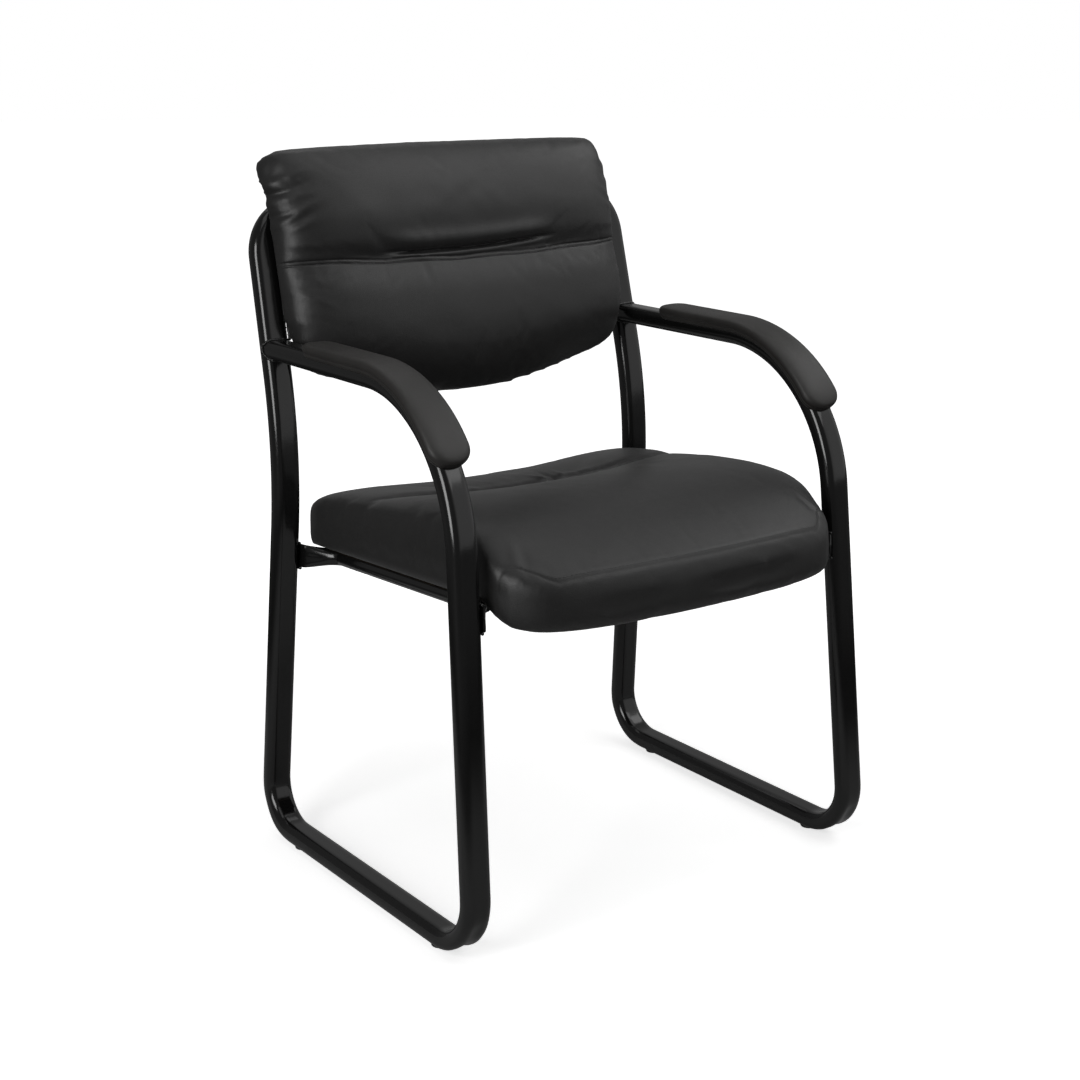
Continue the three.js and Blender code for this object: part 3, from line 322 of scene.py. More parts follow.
def monotone(x, xs, ys):
    """A smooth curve through points that doesn't swing past them."""
    xs, ys = np.asarray(xs, float), np.asarray(ys, float)
    slope = np.diff(ys) / np.diff(xs)
    tangent = np.zeros(len(xs))
    tangent[0], tangent[-1] = slope[0], slope[-1]
    both = slope[:-1] * slope[1:] > 0
    tangent[1:-1][both] = 2 / (1 / slope[:-1][both] + 1 / slope[1:][both])
    k = np.clip(np.searchsorted(xs, x, side="right") - 1, 0, len(xs) - 2)
    wide = xs[k + 1] - xs[k]
    t = (np.asarray(x, float) - xs[k]) / wide
    return (
        ys[k] * (1 + 2 * t) * (1 - t) ** 2 + wide * tangent[k] * t * (1 - t) ** 2
        + ys[k + 1] * t * t * (3 - 2 * t) + wide * tangent[k + 1] * t * t * (t - 1)
    )


def turned(vector, axis, angle_turned):
    """A vector turned about an axis of length one."""
    c, s = math.cos(angle_turned), math.sin(angle_turned)
    return vector * c + np.cross(axis, vector) * s + axis * np.dot(axis, vector) * (1 - c)


# Meshes


def skin(rings, closed=False):
    """Points and faces over rings of points, with a cap at each end unless the rings close on themselves."""
    rings = np.asarray(rings, float)
    rows, around = rings.shape[:2]
    i, k = np.meshgrid(np.arange(rows if closed else rows - 1), np.arange(around), indexing="ij")
    below, after = (i + 1) % rows, (k + 1) % around
    quads = np.stack([i * around + k, i * around + after, below * around + after, below * around + k], -1)
    faces = quads.reshape(-1, 4).tolist()
    if not closed:
        faces += [list(range(around))[::-1], [(rows - 1) * around + k for k in range(around)]]
    return rings.reshape(-1, 3), faces


def prism(outline, low, high):
    """Points and faces of an outline in X and Y drawn up from one height to another."""
    outline = np.asarray(outline, float)
    return skin([np.c_[outline, np.full(len(outline), z)] for z in (low, high)])


def linked(name, data):
    """An object in the scene that shows some data."""
    obj = bpy.data.objects.new(name, data)
    bpy.context.scene.collection.objects.link(obj)
    return obj


def new_object(name, points, faces, material=None, sharp=None, weld=0):
    """A mesh object whose faces point outwards."""
    mesh = bpy.data.meshes.new(name)
    mesh.from_pydata(np.asarray(points, float).tolist(), [], faces)
    work = bmesh.new()
    work.from_mesh(mesh)
    if weld:
        bmesh.ops.remove_doubles(work, verts=work.verts, dist=weld)
    bmesh.ops.recalc_face_normals(work, faces=work.faces)
    if faces and work.calc_volume(signed=True) < 0:
        bmesh.ops.reverse_faces(work, faces=work.faces)
    work.to_mesh(mesh)
    work.free()
    obj = linked(name, mesh)
    finish_mesh(obj, material, sharp)
    return obj


def finish_mesh(obj, material=None, sharp=None):
    """Smooth shading, sharp edges over an angle, and the material."""
    obj.data.shade_smooth()
    if sharp:
        obj.data.set_sharp_from_angle(angle=math.radians(sharp))
    if material:
        obj.data.materials.clear()
        obj.data.materials.append(material)


def piece(obj, nodes):
    """Makes an object a piece of the chair that stands for its CAD nodes."""
    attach(obj, "root")
    if nodes:
        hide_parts(*nodes)
    return obj


def show(name, points, faces, material, sharp):
    """Makes the shown piece that stands for one CAD node."""
    return piece(new_object(f"shown_{name}", points, faces, material, sharp), [name])


def show_both(obj, name, place, material, sharp):
    """Makes the left and the right piece from an object drawn for the left, which is then removed."""
    points, faces = coordinates(obj.data), [list(polygon.vertices) for polygon in obj.data.polygons]
    bpy.data.objects.remove(obj)
    return [
        show(f"{side}_{name}", place(points * [-sign, 1, 1]), faces, material, sharp)
        for side, sign in SIDES.items()
    ]


def coordinates(mesh):
    """The vertices of a mesh as rows."""
    values = np.empty(len(mesh.vertices) * 3)
    mesh.vertices.foreach_get("co", values)
    return values.reshape(-1, 3)


def normals(mesh):
    """The vertex normals of a mesh as rows."""
    values = np.empty(len(mesh.vertices) * 3)
    mesh.vertices.foreach_get("normal", values)
    return values.reshape(-1, 3)


def set_coordinates(mesh, points):
    """Moves the vertices of a mesh."""
    mesh.vertices.foreach_set("co", np.asarray(points, float).ravel())
    mesh.update()


def baked(obj):
    """Replaces an object's mesh by what its modifiers make of it."""
    bpy.context.view_layer.update()
    depsgraph = bpy.context.evaluated_depsgraph_get()
    mesh = bpy.data.meshes.new_from_object(obj.evaluated_get(depsgraph), depsgraph=depsgraph)
    obj.modifiers.clear()
    obj.data = mesh
    return obj


def add_modifier(obj, kind, **settings):
    """A modifier with its settings."""
    modifier = obj.modifiers.new(kind.lower(), kind)
    for key, value in settings.items():
        setattr(modifier, key, value)
    return modifier


def carve(obj, cutter, operation="DIFFERENCE"):
    """Cuts an object with another, which is then removed."""
    add_modifier(obj, "BOOLEAN", object=cutter, operation=operation, solver="MANIFOLD")
    baked(obj)
    bpy.data.objects.remove(cutter)
    return obj


def bevel_edges(obj, width, segments=2, limit=30):
    """Rounds the edges of a mesh that turn by more than an angle."""
    add_modifier(
        obj, "BEVEL", width=width, segments=segments, limit_method="ANGLE", angle_limit=math.radians(limit),
        harden_normals=False,
    )
    return baked(obj)


def sliced(mesh, offset_of, cuts):
    """Adds edges to a mesh where its height over a line, a function of the points, passes each cut."""
    points = coordinates(mesh)
    shift = offset_of(points)
    warped = points.copy()
    warped[:, 1] -= shift
    work = bmesh.new()
    set_coordinates(mesh, warped)
    work.from_mesh(mesh)
    for cut in cuts:
        parts = [*work.verts, *work.edges, *work.faces]
        bmesh.ops.bisect_plane(work, geom=parts, dist=1e-5, plane_co=(0, cut, 0), plane_no=(0, 1, 0))
    work.to_mesh(mesh)
    work.free()
    back = coordinates(mesh)
    back[:, 1] += offset_of(back)
    set_coordinates(mesh, back)


# The side frame's lines, in the CAD source's own frame


class Side:
    """The left side frame: its places, its centre line and its tube section."""

    def __init__(self):
        self.s = sizes("chair_frame")
        s = self.s
        self.low = s.tube_deep / 2
        self.normal = unit([1, 0, -s.lean])
        self.post = np.array([0, math.sin(s.back_angle), math.cos(s.back_angle)])
        self.forward = np.array([0, -math.cos(s.back_angle), math.sin(s.back_angle)])
        self.hoop_height = s.kink_height + s.hoop_rise * math.cos(s.back_angle)
        self.hoop_depth = self.upper_depth(self.hoop_height)

    def at(self, height):
        return -self.s.half_width + self.s.lean * height

    def inner(self, height):
        return -self.at(height) - self.s.tube_wide / 2

    def point(self, depth, height):
        return np.array([self.at(height), depth, height])

    def toward(self, depth, height):
        return unit([self.s.lean * height, depth, height])

    def rear_depth(self, height):
        s = self.s
        return lerp(s.runner_half, s.kink_depth, (height - self.low) / (s.kink_height - self.low))

    def front_depth(self, height):
        s = self.s
        return -lerp(s.runner_half, s.arm_corner, (height - self.low) / (s.arm_height - self.low))

    def upper_depth(self, height):
        return self.s.kink_depth + (height - self.s.kink_height) * math.tan(self.s.back_angle)

    def face_depth(self, across, height):
        """Where the upper post's front face is, at a place across it."""
        s = self.s
        past = np.maximum(np.abs(across) - (s.tube_wide / 2 - s.tube_corner), 0)
        drop = s.tube_corner - np.sqrt(np.maximum(s.tube_corner**2 - past**2, 0))
        return self.upper_depth(height) - (s.tube_deep / 2 - drop) / math.cos(s.back_angle) - s.weld_gap

    def bend_start(self):
        s = self.s
        turn = math.pi / 2 - math.atan2(s.runner_half - s.arm_corner, s.arm_height - self.low)
        return -s.arm_corner + s.arm_radius * math.tan(turn / 2)

    def corners(self):
        """The corners of the centre line, each with its bend radius."""
        s = self.s
        return [
            (self.point(float(self.face_depth(0, s.arm_height)), s.arm_height), 0),
            (self.point(-s.arm_corner, s.arm_height), s.arm_radius),
            (self.point(-s.runner_half, self.low), s.front_foot_radius),
            (self.point(s.runner_half, self.low), s.rear_foot_radius),
            (self.point(s.kink_depth, s.kink_height), s.kink_radius),
            (self.point(self.hoop_depth, self.hoop_height), s.hoop_radius),
            (np.array([-s.weld_gap / 2, self.hoop_depth, self.hoop_height]), 0),
        ]

    def pad_sites(self, pads):
        """Where the pad screws sit on the arm's centre line, and the way out of the arm there."""
        s = self.s
        centre_depth, centre_height = self.bend_start(), s.arm_height - s.arm_radius
        c, sn = math.cos(pads.screw_angle), math.sin(pads.screw_angle)
        bend = self.point(centre_depth - s.arm_radius * c, centre_height + s.arm_radius * sn)
        return [
            (self.point(pads.screw_depth, s.arm_height), self.toward(0, 1)),
            (bend, self.toward(-c, sn)),
        ]

    def arm_station(self, depth, turn):
        """A station on the arm's bend: its point, the way out and the way along."""
        c, sn, radius = math.cos(turn), math.sin(turn), self.s.arm_radius
        point = self.point(depth - radius * sn, self.s.arm_height - radius * (1 - c))
        return point, self.toward(-sn, c), self.toward(-c, -sn)


def bent_line(corners, straight_step, bend_step):
    """Stations along a bent line: points, tangents, the bend that each is in, and how far through it."""
    stations = []

    def add(point, tangent, bend=0, part=0):
        stations.append((point, tangent, bend, part))

    def run(start, end):
        steps = max(int(np.linalg.norm(end - start) / straight_step), 1)
        for i in range(1, steps):
            add(lerp(start, end, i / steps), unit(end - start))

    last = corners[0][0]
    add(last, unit(corners[1][0] - last))
    for number in range(1, len(corners) - 1):
        corner, radius = corners[number]
        into, out = unit(corner - corners[number - 1][0]), unit(corners[number + 1][0] - corner)
        turn = math.acos(float(np.clip(into @ out, -1, 1)))
        axis = unit(np.cross(into, out))
        start = corner - into * radius * math.tan(turn / 2)
        centre = start + np.cross(axis, into) * radius
        run(last, start)
        steps = max(int(radius * turn / bend_step), 4)
        for step in range(steps + 1):
            part = turn * step / steps
            add(centre + turned(start - centre, axis, part), turned(into, axis, part), number, step / steps)
        last = stations[-1][0]
    end = corners[-1][0]
    run(last, end)
    add(end, unit(end - corners[-2][0]))
    return tuple(np.array(column) for column in zip(*stations))


def line_frames(tangents, wide):
    """Carries the wide direction along the tangents without twist."""
    wides = [wide]
    for before, now in zip(tangents[:-1], tangents[1:]):
        axis = np.cross(before, now)
        size = np.linalg.norm(axis)
        if size > 1e-9:
            wide = turned(wide, axis / size, math.asin(min(size, 1)))
        wides.append(wide)
    wides = np.array(wides)
    return wides, unit(np.cross(tangents, wides))


def flat_oval(wide, deep, corner, corner_steps=6, wide_steps=7, deep_steps=2):
    """The section of a flat-oval tube."""
    points = []
    for quarter in range(4):
        sign_wide = 1 if quarter in (0, 3) else -1
        sign_deep = 1 if quarter < 2 else -1
        middle = np.array([sign_wide * (wide / 2 - corner), sign_deep * (deep / 2 - corner)])
        arc = [
            middle + corner * np.array([math.cos(a), math.sin(a)])
            for a in (np.arange(corner_steps + 1) / corner_steps + quarter) * math.pi / 2
        ]
        points += arc
        flat = wide_steps if quarter % 2 == 0 else deep_steps
        ahead = arc[-1] + (
            np.array([-sign_wide * (wide - 2 * corner), 0]) if quarter % 2 == 0
            else np.array([0, -sign_deep * (deep - 2 * corner)])
        )
        points += [lerp(arc[-1], ahead, i / flat) for i in range(1, flat)]
    return np.array(points)


# The frames of the seat and of the back


def floor_shift():
    """How far the packed chair is moved from the CAD source's own frame, read from the glides."""
    front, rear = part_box("front_left_glide"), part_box("rear_left_glide")
    middle = sum(corner[1] for corner in (*front, *rear)) / 4
    return np.array([0, middle, sizes("chair_frame").glide_height])


def seat_place():
    """The matrix from the seat's frame to the chair's."""
    s = sizes("chair_cushions")
    shift = Matrix.Translation(Vector(floor_shift() + [0, 0, s.seat_height]))
    return shift @ Matrix.Rotation(-s.seat_tilt, 4, "X")


def back_place():
    """The matrix from the back's frame to the chair's: X across, Y up the posts, Z forward."""
    s = sizes("chair_frame")
    kink = Vector(floor_shift() + [0, s.kink_depth, s.kink_height])
    return Matrix.Translation(kink) @ Matrix.Rotation(math.pi / 2 - s.back_angle, 4, "X")


def moved(points, matrix):
    """Points moved by a matrix."""
    m = np.array(matrix)
    return np.asarray(points, float) @ m[:3, :3].T + m[:3, 3]


def on_floor(points):
    """Points of the CAD source's own frame, in the chair's frame."""
    return points + floor_shift()


def on_seat(points):
    """Points of the seat's frame, in the chair's frame."""
    return moved(points, seat_place())


def on_back(points):
    """Points of the back's frame, in the chair's frame."""
    return moved(points, back_place())


def settled(obj, place):
    """Moves an object's mesh to its place in the chair's frame."""
    set_coordinates(obj.data, place(coordinates(obj.data)))


# Node trees


class Tree:
    """Adds nodes to a node tree. A socket given as a value becomes a link."""

    def __init__(self, tree):
        self.tree = tree

    def add(self, kind, *values, **settings):
        node = self.tree.nodes.new(kind)
        named = settings.pop("sockets", {})
        for key, value in settings.items():
            setattr(node, key, value)
        for i, value in enumerate(values):
            self.put(node.inputs[i], value)
        for key, value in named.items():
            self.put(node.inputs[key], value)
        return node

    def put(self, socket, value):
        if value is None:
            return
        if isinstance(value, bpy.types.NodeSocket):
            self.tree.links.new(value, socket)
        else:
            socket.default_value = value

    def math(self, operation, a, b=None, c=None):
        return self.add("ShaderNodeMath", a, b, c, operation=operation).outputs[0]

    def ramp(self, value, low, high, to_low=0.0, to_high=1.0):
        return self.add("ShaderNodeMapRange", interpolation_type="SMOOTHSTEP", sockets={
            "Value": value, "From Min": low, "From Max": high, "To Min": to_low, "To Max": to_high,
        }).outputs[0]

    def mix(self, factor, a, b):
        node = self.add("ShaderNodeMix", data_type="RGBA")
        self.put(node.inputs["Factor"], factor)
        self.put(node.inputs[6], a)
        self.put(node.inputs[7], b)
        return node.outputs[2]

    def noise(self, place, scale, detail, output="Fac", **more):
        values = {"Vector": place, "Scale": scale, "Detail": detail, **more}
        return self.add("ShaderNodeTexNoise", sockets=values).outputs[output]

    def stretched(self, place, scale):
        return self.add("ShaderNodeMapping", sockets={"Vector": place, "Scale": scale}).outputs[0]

    def group(self, group, **inputs):
        node = self.tree.nodes.new("ShaderNodeGroup")
        node.node_tree = group
        for key, value in inputs.items():
            self.put(node.inputs[key], value)
        return node.outputs


def new_group(name, kind, inputs, outputs):
    """A node group with its sockets, and its tree helper, inputs and output node."""
    group = bpy.data.node_groups.new(name, kind)
    for label, (socket, default) in inputs.items():
        item = group.interface.new_socket(label, in_out="INPUT", socket_type=socket)
        if default is not None:
            item.default_value = default
    for label, socket in outputs.items():
        group.interface.new_socket(label, in_out="OUTPUT", socket_type=socket)
    tree = Tree(group)
    source = tree.add("NodeGroupInput")
    sink = tree.add("NodeGroupOutput")
    return group, tree, source.outputs, sink


FLOAT, VECTOR = "NodeSocketFloat", "NodeSocketVector"


def once(build):
    """Keeps what a function builds, so that it is built once."""
    kept = []

    def wrapper():
        if not kept:
            kept.append(build())
        return kept[0]

    return wrapper


@once
def mottle_group():
    """Soft patches: a mask from 0 to 1 by place."""
    inputs = {"Place": (VECTOR, None), "Scale": (FLOAT, 20.0), "Sharpness": (FLOAT, 0.25)}
    group, tree, source, sink = new_group("soft patches", "ShaderNodeTree", inputs, {"Mask": FLOAT})
    noise = tree.noise(source["Place"], source["Scale"], 4.0, Roughness=0.55)
    low = tree.math("SUBTRACT", 0.5, source["Sharpness"])
    high = tree.math("ADD", 0.5, source["Sharpness"])
    tree.put(sink.inputs["Mask"], tree.ramp(noise, low, high))
    return group


@once
def grain_group():
    """Pebbled leather: a height, and a mask of the valleys between the pebbles."""
    inputs = {"Place": (VECTOR, None), "Scale": (FLOAT, 700.0), "Creases": (FLOAT, 0.4)}
    outputs = {"Height": FLOAT, "Valleys": FLOAT}
    group, tree, source, sink = new_group("pebbled grain", "ShaderNodeTree", inputs, outputs)
    place, scale = source["Place"], source["Scale"]
    bent = tree.add("ShaderNodeMix", data_type="VECTOR")
    tree.put(bent.inputs["Factor"], 0.0009)
    tree.put(bent.inputs[4], place)
    tree.put(bent.inputs[5], tree.noise(place, tree.math("MULTIPLY", scale, 0.6), 2.0, output="Color"))
    cells = tree.add("ShaderNodeTexVoronoi", feature="DISTANCE_TO_EDGE", sockets={
        "Vector": bent.outputs[1], "Scale": scale, "Randomness": 0.9,
    })
    pebbles = tree.ramp(cells.outputs["Distance"], 0.0, 0.28)
    fine = tree.noise(place, tree.math("MULTIPLY", scale, 3.2), 3.0)
    coarse = tree.noise(place, tree.math("MULTIPLY", scale, 0.12), 5.0, Roughness=0.62)
    folds = tree.math("ABSOLUTE", tree.math("SUBTRACT", coarse, 0.5))
    folds = tree.math("MULTIPLY", tree.ramp(folds, 0.0, 0.06), source["Creases"])
    height = tree.math("MULTIPLY_ADD", fine, 0.22, pebbles)
    tree.put(sink.inputs["Height"], tree.math("ADD", height, folds))
    tree.put(sink.inputs["Valleys"], tree.math("SUBTRACT", 1.0, pebbles))
    return group


@once
def scuff_group():
    """Fine scuffs and settled dust, more of them near the floor: a mask from 0 to 1."""
    inputs = {"Place": (VECTOR, None), "Reach": (FLOAT, 0.06), "Amount": (FLOAT, 0.5)}
    group, tree, source, sink = new_group("scuffs and dust", "ShaderNodeTree", inputs, {"Mask": FLOAT})
    scratches = tree.noise(tree.stretched(source["Place"], (1.0, 0.25, 2.0)), 420.0, 6.0, Roughness=0.7)
    patches = tree.group(mottle_group(), Place=source["Place"], Scale=14.0, Sharpness=0.2)[0]
    height = tree.add("ShaderNodeSeparateXYZ", source["Place"]).outputs["Z"]
    near_floor = tree.math("SUBTRACT", 1.0, tree.ramp(height, 0.0, source["Reach"]))
    mask = tree.math("MULTIPLY", tree.ramp(scratches, 0.56, 0.7), patches)
    mask = tree.math("MULTIPLY", mask, tree.math("MULTIPLY_ADD", near_floor, 0.8, 0.2))
    tree.put(sink.inputs["Mask"], tree.math("MULTIPLY", mask, source["Amount"]))
    return group


def new_material(name):
    """A material with its tree helper, its principled shader and object coordinates."""
    material = bpy.data.materials.new(name)
    material.use_nodes = True
    tree = Tree(material.node_tree)
    place = tree.add("ShaderNodeTexCoord").outputs["Object"]
    return material, tree, material.node_tree.nodes["Principled BSDF"], place


def surface(tree, shader, colour, rough, bump, **plain):
    """Sets a shader's colour, roughness, bump (its height, distance and strength) and plain values."""
    tree.put(shader.inputs["Base Color"], colour)
    tree.put(shader.inputs["Roughness"], rough)
    for key, value in plain.items():
        shader.inputs[key.replace("_", " ")].default_value = value
    height, distance, strength = bump
    node = tree.add("ShaderNodeBump", sockets={"Height": height, "Distance": distance, "Strength": strength})
    tree.put(shader.inputs["Normal"], node.outputs[0])


@once
def leather():
    material, tree, shader, place = new_material("black leather")
    f = sizes("chair_finishes")
    grain = tree.group(grain_group(), Place=place, Scale=620.0, Creases=0.35)
    patches = tree.group(mottle_group(), Place=place, Scale=9.0, Sharpness=0.3)[0]
    colour = tree.mix(patches, f.leather, f.leather_patch)
    colour = tree.mix(tree.math("MULTIPLY", grain["Valleys"], 0.5), colour, f.leather_valley)
    rough = tree.math("MULTIPLY_ADD", grain["Valleys"], 0.08, tree.ramp(patches, 0.0, 1.0, 0.36, 0.42))
    bump = (grain["Height"], 0.00012, 0.4)
    surface(tree, shader, colour, rough, bump, Specular_IOR_Level=0.5, Sheen_Weight=0.06, Sheen_Roughness=0.5)
    return material


@once
def powder_coat():
    material, tree, shader, place = new_material("black powder coat")
    f = sizes("chair_finishes")
    scuffs = tree.group(scuff_group(), Place=place, Reach=0.05, Amount=0.35)[0]
    patches = tree.group(mottle_group(), Place=place, Scale=30.0, Sharpness=0.35)[0]
    colour = tree.mix(scuffs, f.coat, f.coat_scuff)
    rough = tree.math("MULTIPLY_ADD", scuffs, 0.4, tree.ramp(patches, 0.0, 1.0, 0.13, 0.18))
    bump = (tree.noise(place, 420.0, 2.0), 0.00006, 0.5)
    surface(tree, shader, colour, rough, bump, Specular_IOR_Level=0.5, Coat_Weight=0.25, Coat_Roughness=0.12)
    return material


@once
def pad_skin():
    material, tree, shader, place = new_material("soft pad skin")
    f = sizes("chair_finishes")
    grain = tree.group(grain_group(), Place=place, Scale=1400.0, Creases=0.1)
    patches = tree.group(mottle_group(), Place=place, Scale=24.0, Sharpness=0.3)[0]
    rough = tree.ramp(patches, 0.0, 1.0, 0.42, 0.5)
    bump = (grain["Height"], 0.00008, 0.5)
    surface(tree, shader, tree.mix(patches, f.pad, f.pad_patch), rough, bump, Specular_IOR_Level=0.5)
    return material


@once
def black_plastic():
    material, tree, shader, place = new_material("moulded plastic")
    f = sizes("chair_finishes")
    scuffs = tree.group(scuff_group(), Place=place, Reach=0.02, Amount=0.7)[0]
    spark = tree.noise(place, 1500.0, 3.0)
    colour, rough = tree.mix(scuffs, f.plastic, f.plastic_scuff), tree.ramp(spark, 0.3, 0.7, 0.42, 0.6)
    surface(tree, shader, colour, rough, (spark, 0.00008, 0.6), Specular_IOR_Level=0.45)
    return material


@once
def dust_cloth():
    material, tree, shader, place = new_material("non-woven cloth")
    f = sizes("chair_finishes")
    fibres = tree.noise(tree.stretched(place, (3.0, 0.6, 1.0)), 520.0, 8.0, Roughness=0.75, Distortion=2.5)
    bonds = tree.add("ShaderNodeTexVoronoi", feature="F1", sockets={
        "Vector": place, "Scale": 420.0, "Randomness": 0.15,
    })
    dots = tree.ramp(bonds.outputs["Distance"], 0.22, 0.36)
    colour, rough = tree.mix(fibres, f.cloth, f.cloth_fibre), tree.ramp(dots, 0.0, 1.0, 0.6, 0.92)
    bump = (tree.math("MULTIPLY", fibres, dots), 0.00025, 0.8)
    surface(tree, shader, colour, rough, bump, Specular_IOR_Level=0.25, Sheen_Weight=0.15)
    return material


@once
def plywood():
    material, tree, shader, place = new_material("birch plywood")
    height = tree.add("ShaderNodeSeparateXYZ", place).outputs["Z"]
    plies = tree.math("GREATER_THAN", tree.math("SINE", tree.math("MULTIPLY", height, 2200.0)), 0.0)
    grain = tree.noise(tree.stretched(place, (1.0, 0.06, 1.0)), 260.0, 6.0, Roughness=0.65)
    wood = tree.mix(grain, (0.34, 0.2, 0.1, 1.0), (0.56, 0.38, 0.2, 1.0))
    colour = tree.mix(tree.math("MULTIPLY", plies, 0.35), wood, (0.2, 0.1, 0.05, 1.0))
    surface(tree, shader, colour, tree.ramp(grain, 0.3, 0.7, 0.6, 0.78), (grain, 0.0002, 0.6))
    return material


def metal(name, base, bright, rough_low, rough_high):
    """A fastener's metal, darker and rougher in patches."""
    material, tree, shader, place = new_material(name)
    patches = tree.group(mottle_group(), Place=place, Scale=260.0, Sharpness=0.3)[0]
    lines = tree.noise(place, 2600.0, 3.0)
    rough = tree.ramp(lines, 0.3, 0.7, rough_low, rough_high)
    surface(tree, shader, tree.mix(patches, base, bright), rough, (lines, 0.00003, 0.5), Metallic=1.0)
    return material


@once
def black_screw():
    return metal("black oxide", grey(0.03), grey(0.07, 0.05), 0.3, 0.45)


@once
def zinc_steel():
    return metal("zinc plate", (0.5, 0.5, 0.47, 1), (0.68, 0.68, 0.64, 1), 0.28, 0.42)


@once
def thread():
    material, tree, shader, place = new_material("black thread")
    f = sizes("chair_finishes")
    twist = tree.add("ShaderNodeTexWave", sockets={"Vector": place, "Scale": 900.0, "Distortion": 1.0})
    twist = twist.outputs["Fac"]
    rough = tree.ramp(twist, 0.0, 1.0, 0.45, 0.65)
    surface(tree, shader, tree.mix(twist, f.thread, f.thread_twist), rough, (twist, 0.0001, 0.7))
    return material


# Repeated pieces, placed by geometry nodes


@once
def row_group():
    """Instances along a curve of edges, set by named inputs, then made real and given a material."""
    group, tree, source, sink = new_group(
        "row of instances", "GeometryNodeTree", {
            "Path": ("NodeSocketGeometry", None), "Item": ("NodeSocketObject", None), "Pitch": (FLOAT, 0.005),
            "Up": (VECTOR, (0.0, 0.0, 1.0)), "Size": (VECTOR, (1.0, 1.0, 1.0)), "Jitter": (FLOAT, 0.1),
            "Swing": (FLOAT, 0.0), "Seed": ("NodeSocketInt", SEED), "Material": ("NodeSocketMaterial", None),
        }, {"Geometry": "NodeSocketGeometry"},
    )
    curve = tree.add("GeometryNodeMeshToCurve", source["Path"]).outputs[0]
    points = tree.add("GeometryNodeCurveToPoints", mode="LENGTH", sockets={
        "Curve": curve, "Length": source["Pitch"],
    })
    lift = tree.add("FunctionNodeAlignRotationToVector", axis="Z", sockets={"Vector": source["Up"]})
    along = tree.add("FunctionNodeAlignRotationToVector", axis="X", pivot_axis="Z", sockets={
        "Rotation": lift.outputs[0], "Vector": points.outputs["Tangent"],
    }).outputs[0]
    low, high = tree.math("SUBTRACT", 1.0, source["Jitter"]), tree.math("ADD", 1.0, source["Jitter"])
    scale = tree.add("FunctionNodeRandomValue", data_type="FLOAT", sockets={"Seed": source["Seed"]})
    tree.put(scale.inputs[2], low)
    tree.put(scale.inputs[3], high)
    swing = tree.add("FunctionNodeRandomValue", data_type="FLOAT", sockets={"Seed": source["Seed"]})
    tree.put(swing.inputs[2], tree.math("MULTIPLY", source["Swing"], -1.0))
    tree.put(swing.inputs[3], source["Swing"])
    spin = tree.add("FunctionNodeAxisAngleToRotation", sockets={
        "Axis": (0.0, 0.0, 1.0), "Angle": swing.outputs[1],
    })
    spun = tree.add("FunctionNodeRotateRotation", along, spin.outputs[0], rotation_space="LOCAL").outputs[0]
    size = tree.add("ShaderNodeVectorMath", source["Size"], operation="SCALE", sockets={
        "Scale": scale.outputs[1],
    })
    item = tree.add("GeometryNodeObjectInfo", source["Item"]).outputs["Geometry"]
    placed = tree.add("GeometryNodeInstanceOnPoints", sockets={
        "Points": points.outputs["Points"], "Instance": item, "Rotation": spun, "Scale": size.outputs[0],
    }).outputs[0]
    real = tree.add("GeometryNodeRealizeInstances", placed).outputs[0]
    final = tree.add("GeometryNodeSetMaterial", sockets={"Geometry": real, "Material": source["Material"]})
    tree.put(sink.inputs[0], final.outputs[0])
    return group


def row(name, lines, item, material, pitch, size, up=(0, 0, 1), jitter=0.1, swing=0.0, seed=SEED):
    """A piece made of one item repeated along lines of points, in the chair's frame."""
    points, edges = [], []
    for line in lines:
        first = len(points)
        points += [tuple(p) for p in np.asarray(line, float)]
        edges += [(first + i, first + i + 1) for i in range(len(line) - 1)]
    mesh = bpy.data.meshes.new(name)
    mesh.from_pydata(points, edges, [])
    obj, group = linked(name, mesh), row_group()
    modifier = obj.modifiers.new("row", "NODES")
    modifier.node_group = group
    values = {
        "Item": item, "Pitch": pitch, "Up": up, "Size": size, "Jitter": jitter, "Swing": swing, "Seed": seed,
        "Material": material,
    }
    for socket in group.interface.items_tree:
        if socket.in_out == "INPUT" and socket.name in values:
            modifier[socket.identifier] = values[socket.name]
    baked(obj)
    obj.data.shade_smooth()
    bpy.data.objects.remove(item)
    if not obj.data.vertices:
        raise RuntimeError(f"{name}: the row has no instances")
    return obj


def ball_item(segments=10, rings=6):
    """A ball of radius one, for beads and stitches."""
    mesh = bpy.data.meshes.new("item")
    work = bmesh.new()
    bmesh.ops.create_uvsphere(work, u_segments=segments, v_segments=rings, radius=1)
    work.to_mesh(mesh)
    work.free()
    return linked("item", mesh)


# Pieces of the frame


def dented(section, amount, wide):
    """A tube section whose lower side is pressed in by an amount, with its shoulders pushed out a little."""
    section = section.copy()
    across = section[:, 0] / (wide / 2)
    lower = smoothstep(-section[:, 1], 0, 0.0055)
    hollow = (1 - np.clip(np.abs(across) / 0.8, 0, 1) ** 2) ** 1.5
    section[:, 1] += lower * hollow * amount
    section[:, 0] += np.sign(section[:, 0]) * lower * amount * 0.16 * bell(np.abs(across) - 0.85, 0.25)
    return section


def dent_share(bend, part):
    """How much of a dent each station takes: deepest past the middle of a foot bend, sudden at its end."""
    along = np.where(bend == 2, part - 0.12, 1 - part)
    foot = (bend == 2) | (bend == 3)
    shape = bell(along - 0.66, 0.24) + 0.35 * bell(along - 0.22, 0.12)
    pinch = -0.16 * bell(along - 0.93, 0.05)
    fade = smoothstep(along, 0.02, 0.16) * (1 - smoothstep(along, 0.84, 0.97))
    return np.where(foot, shape * fade + pinch, 0)


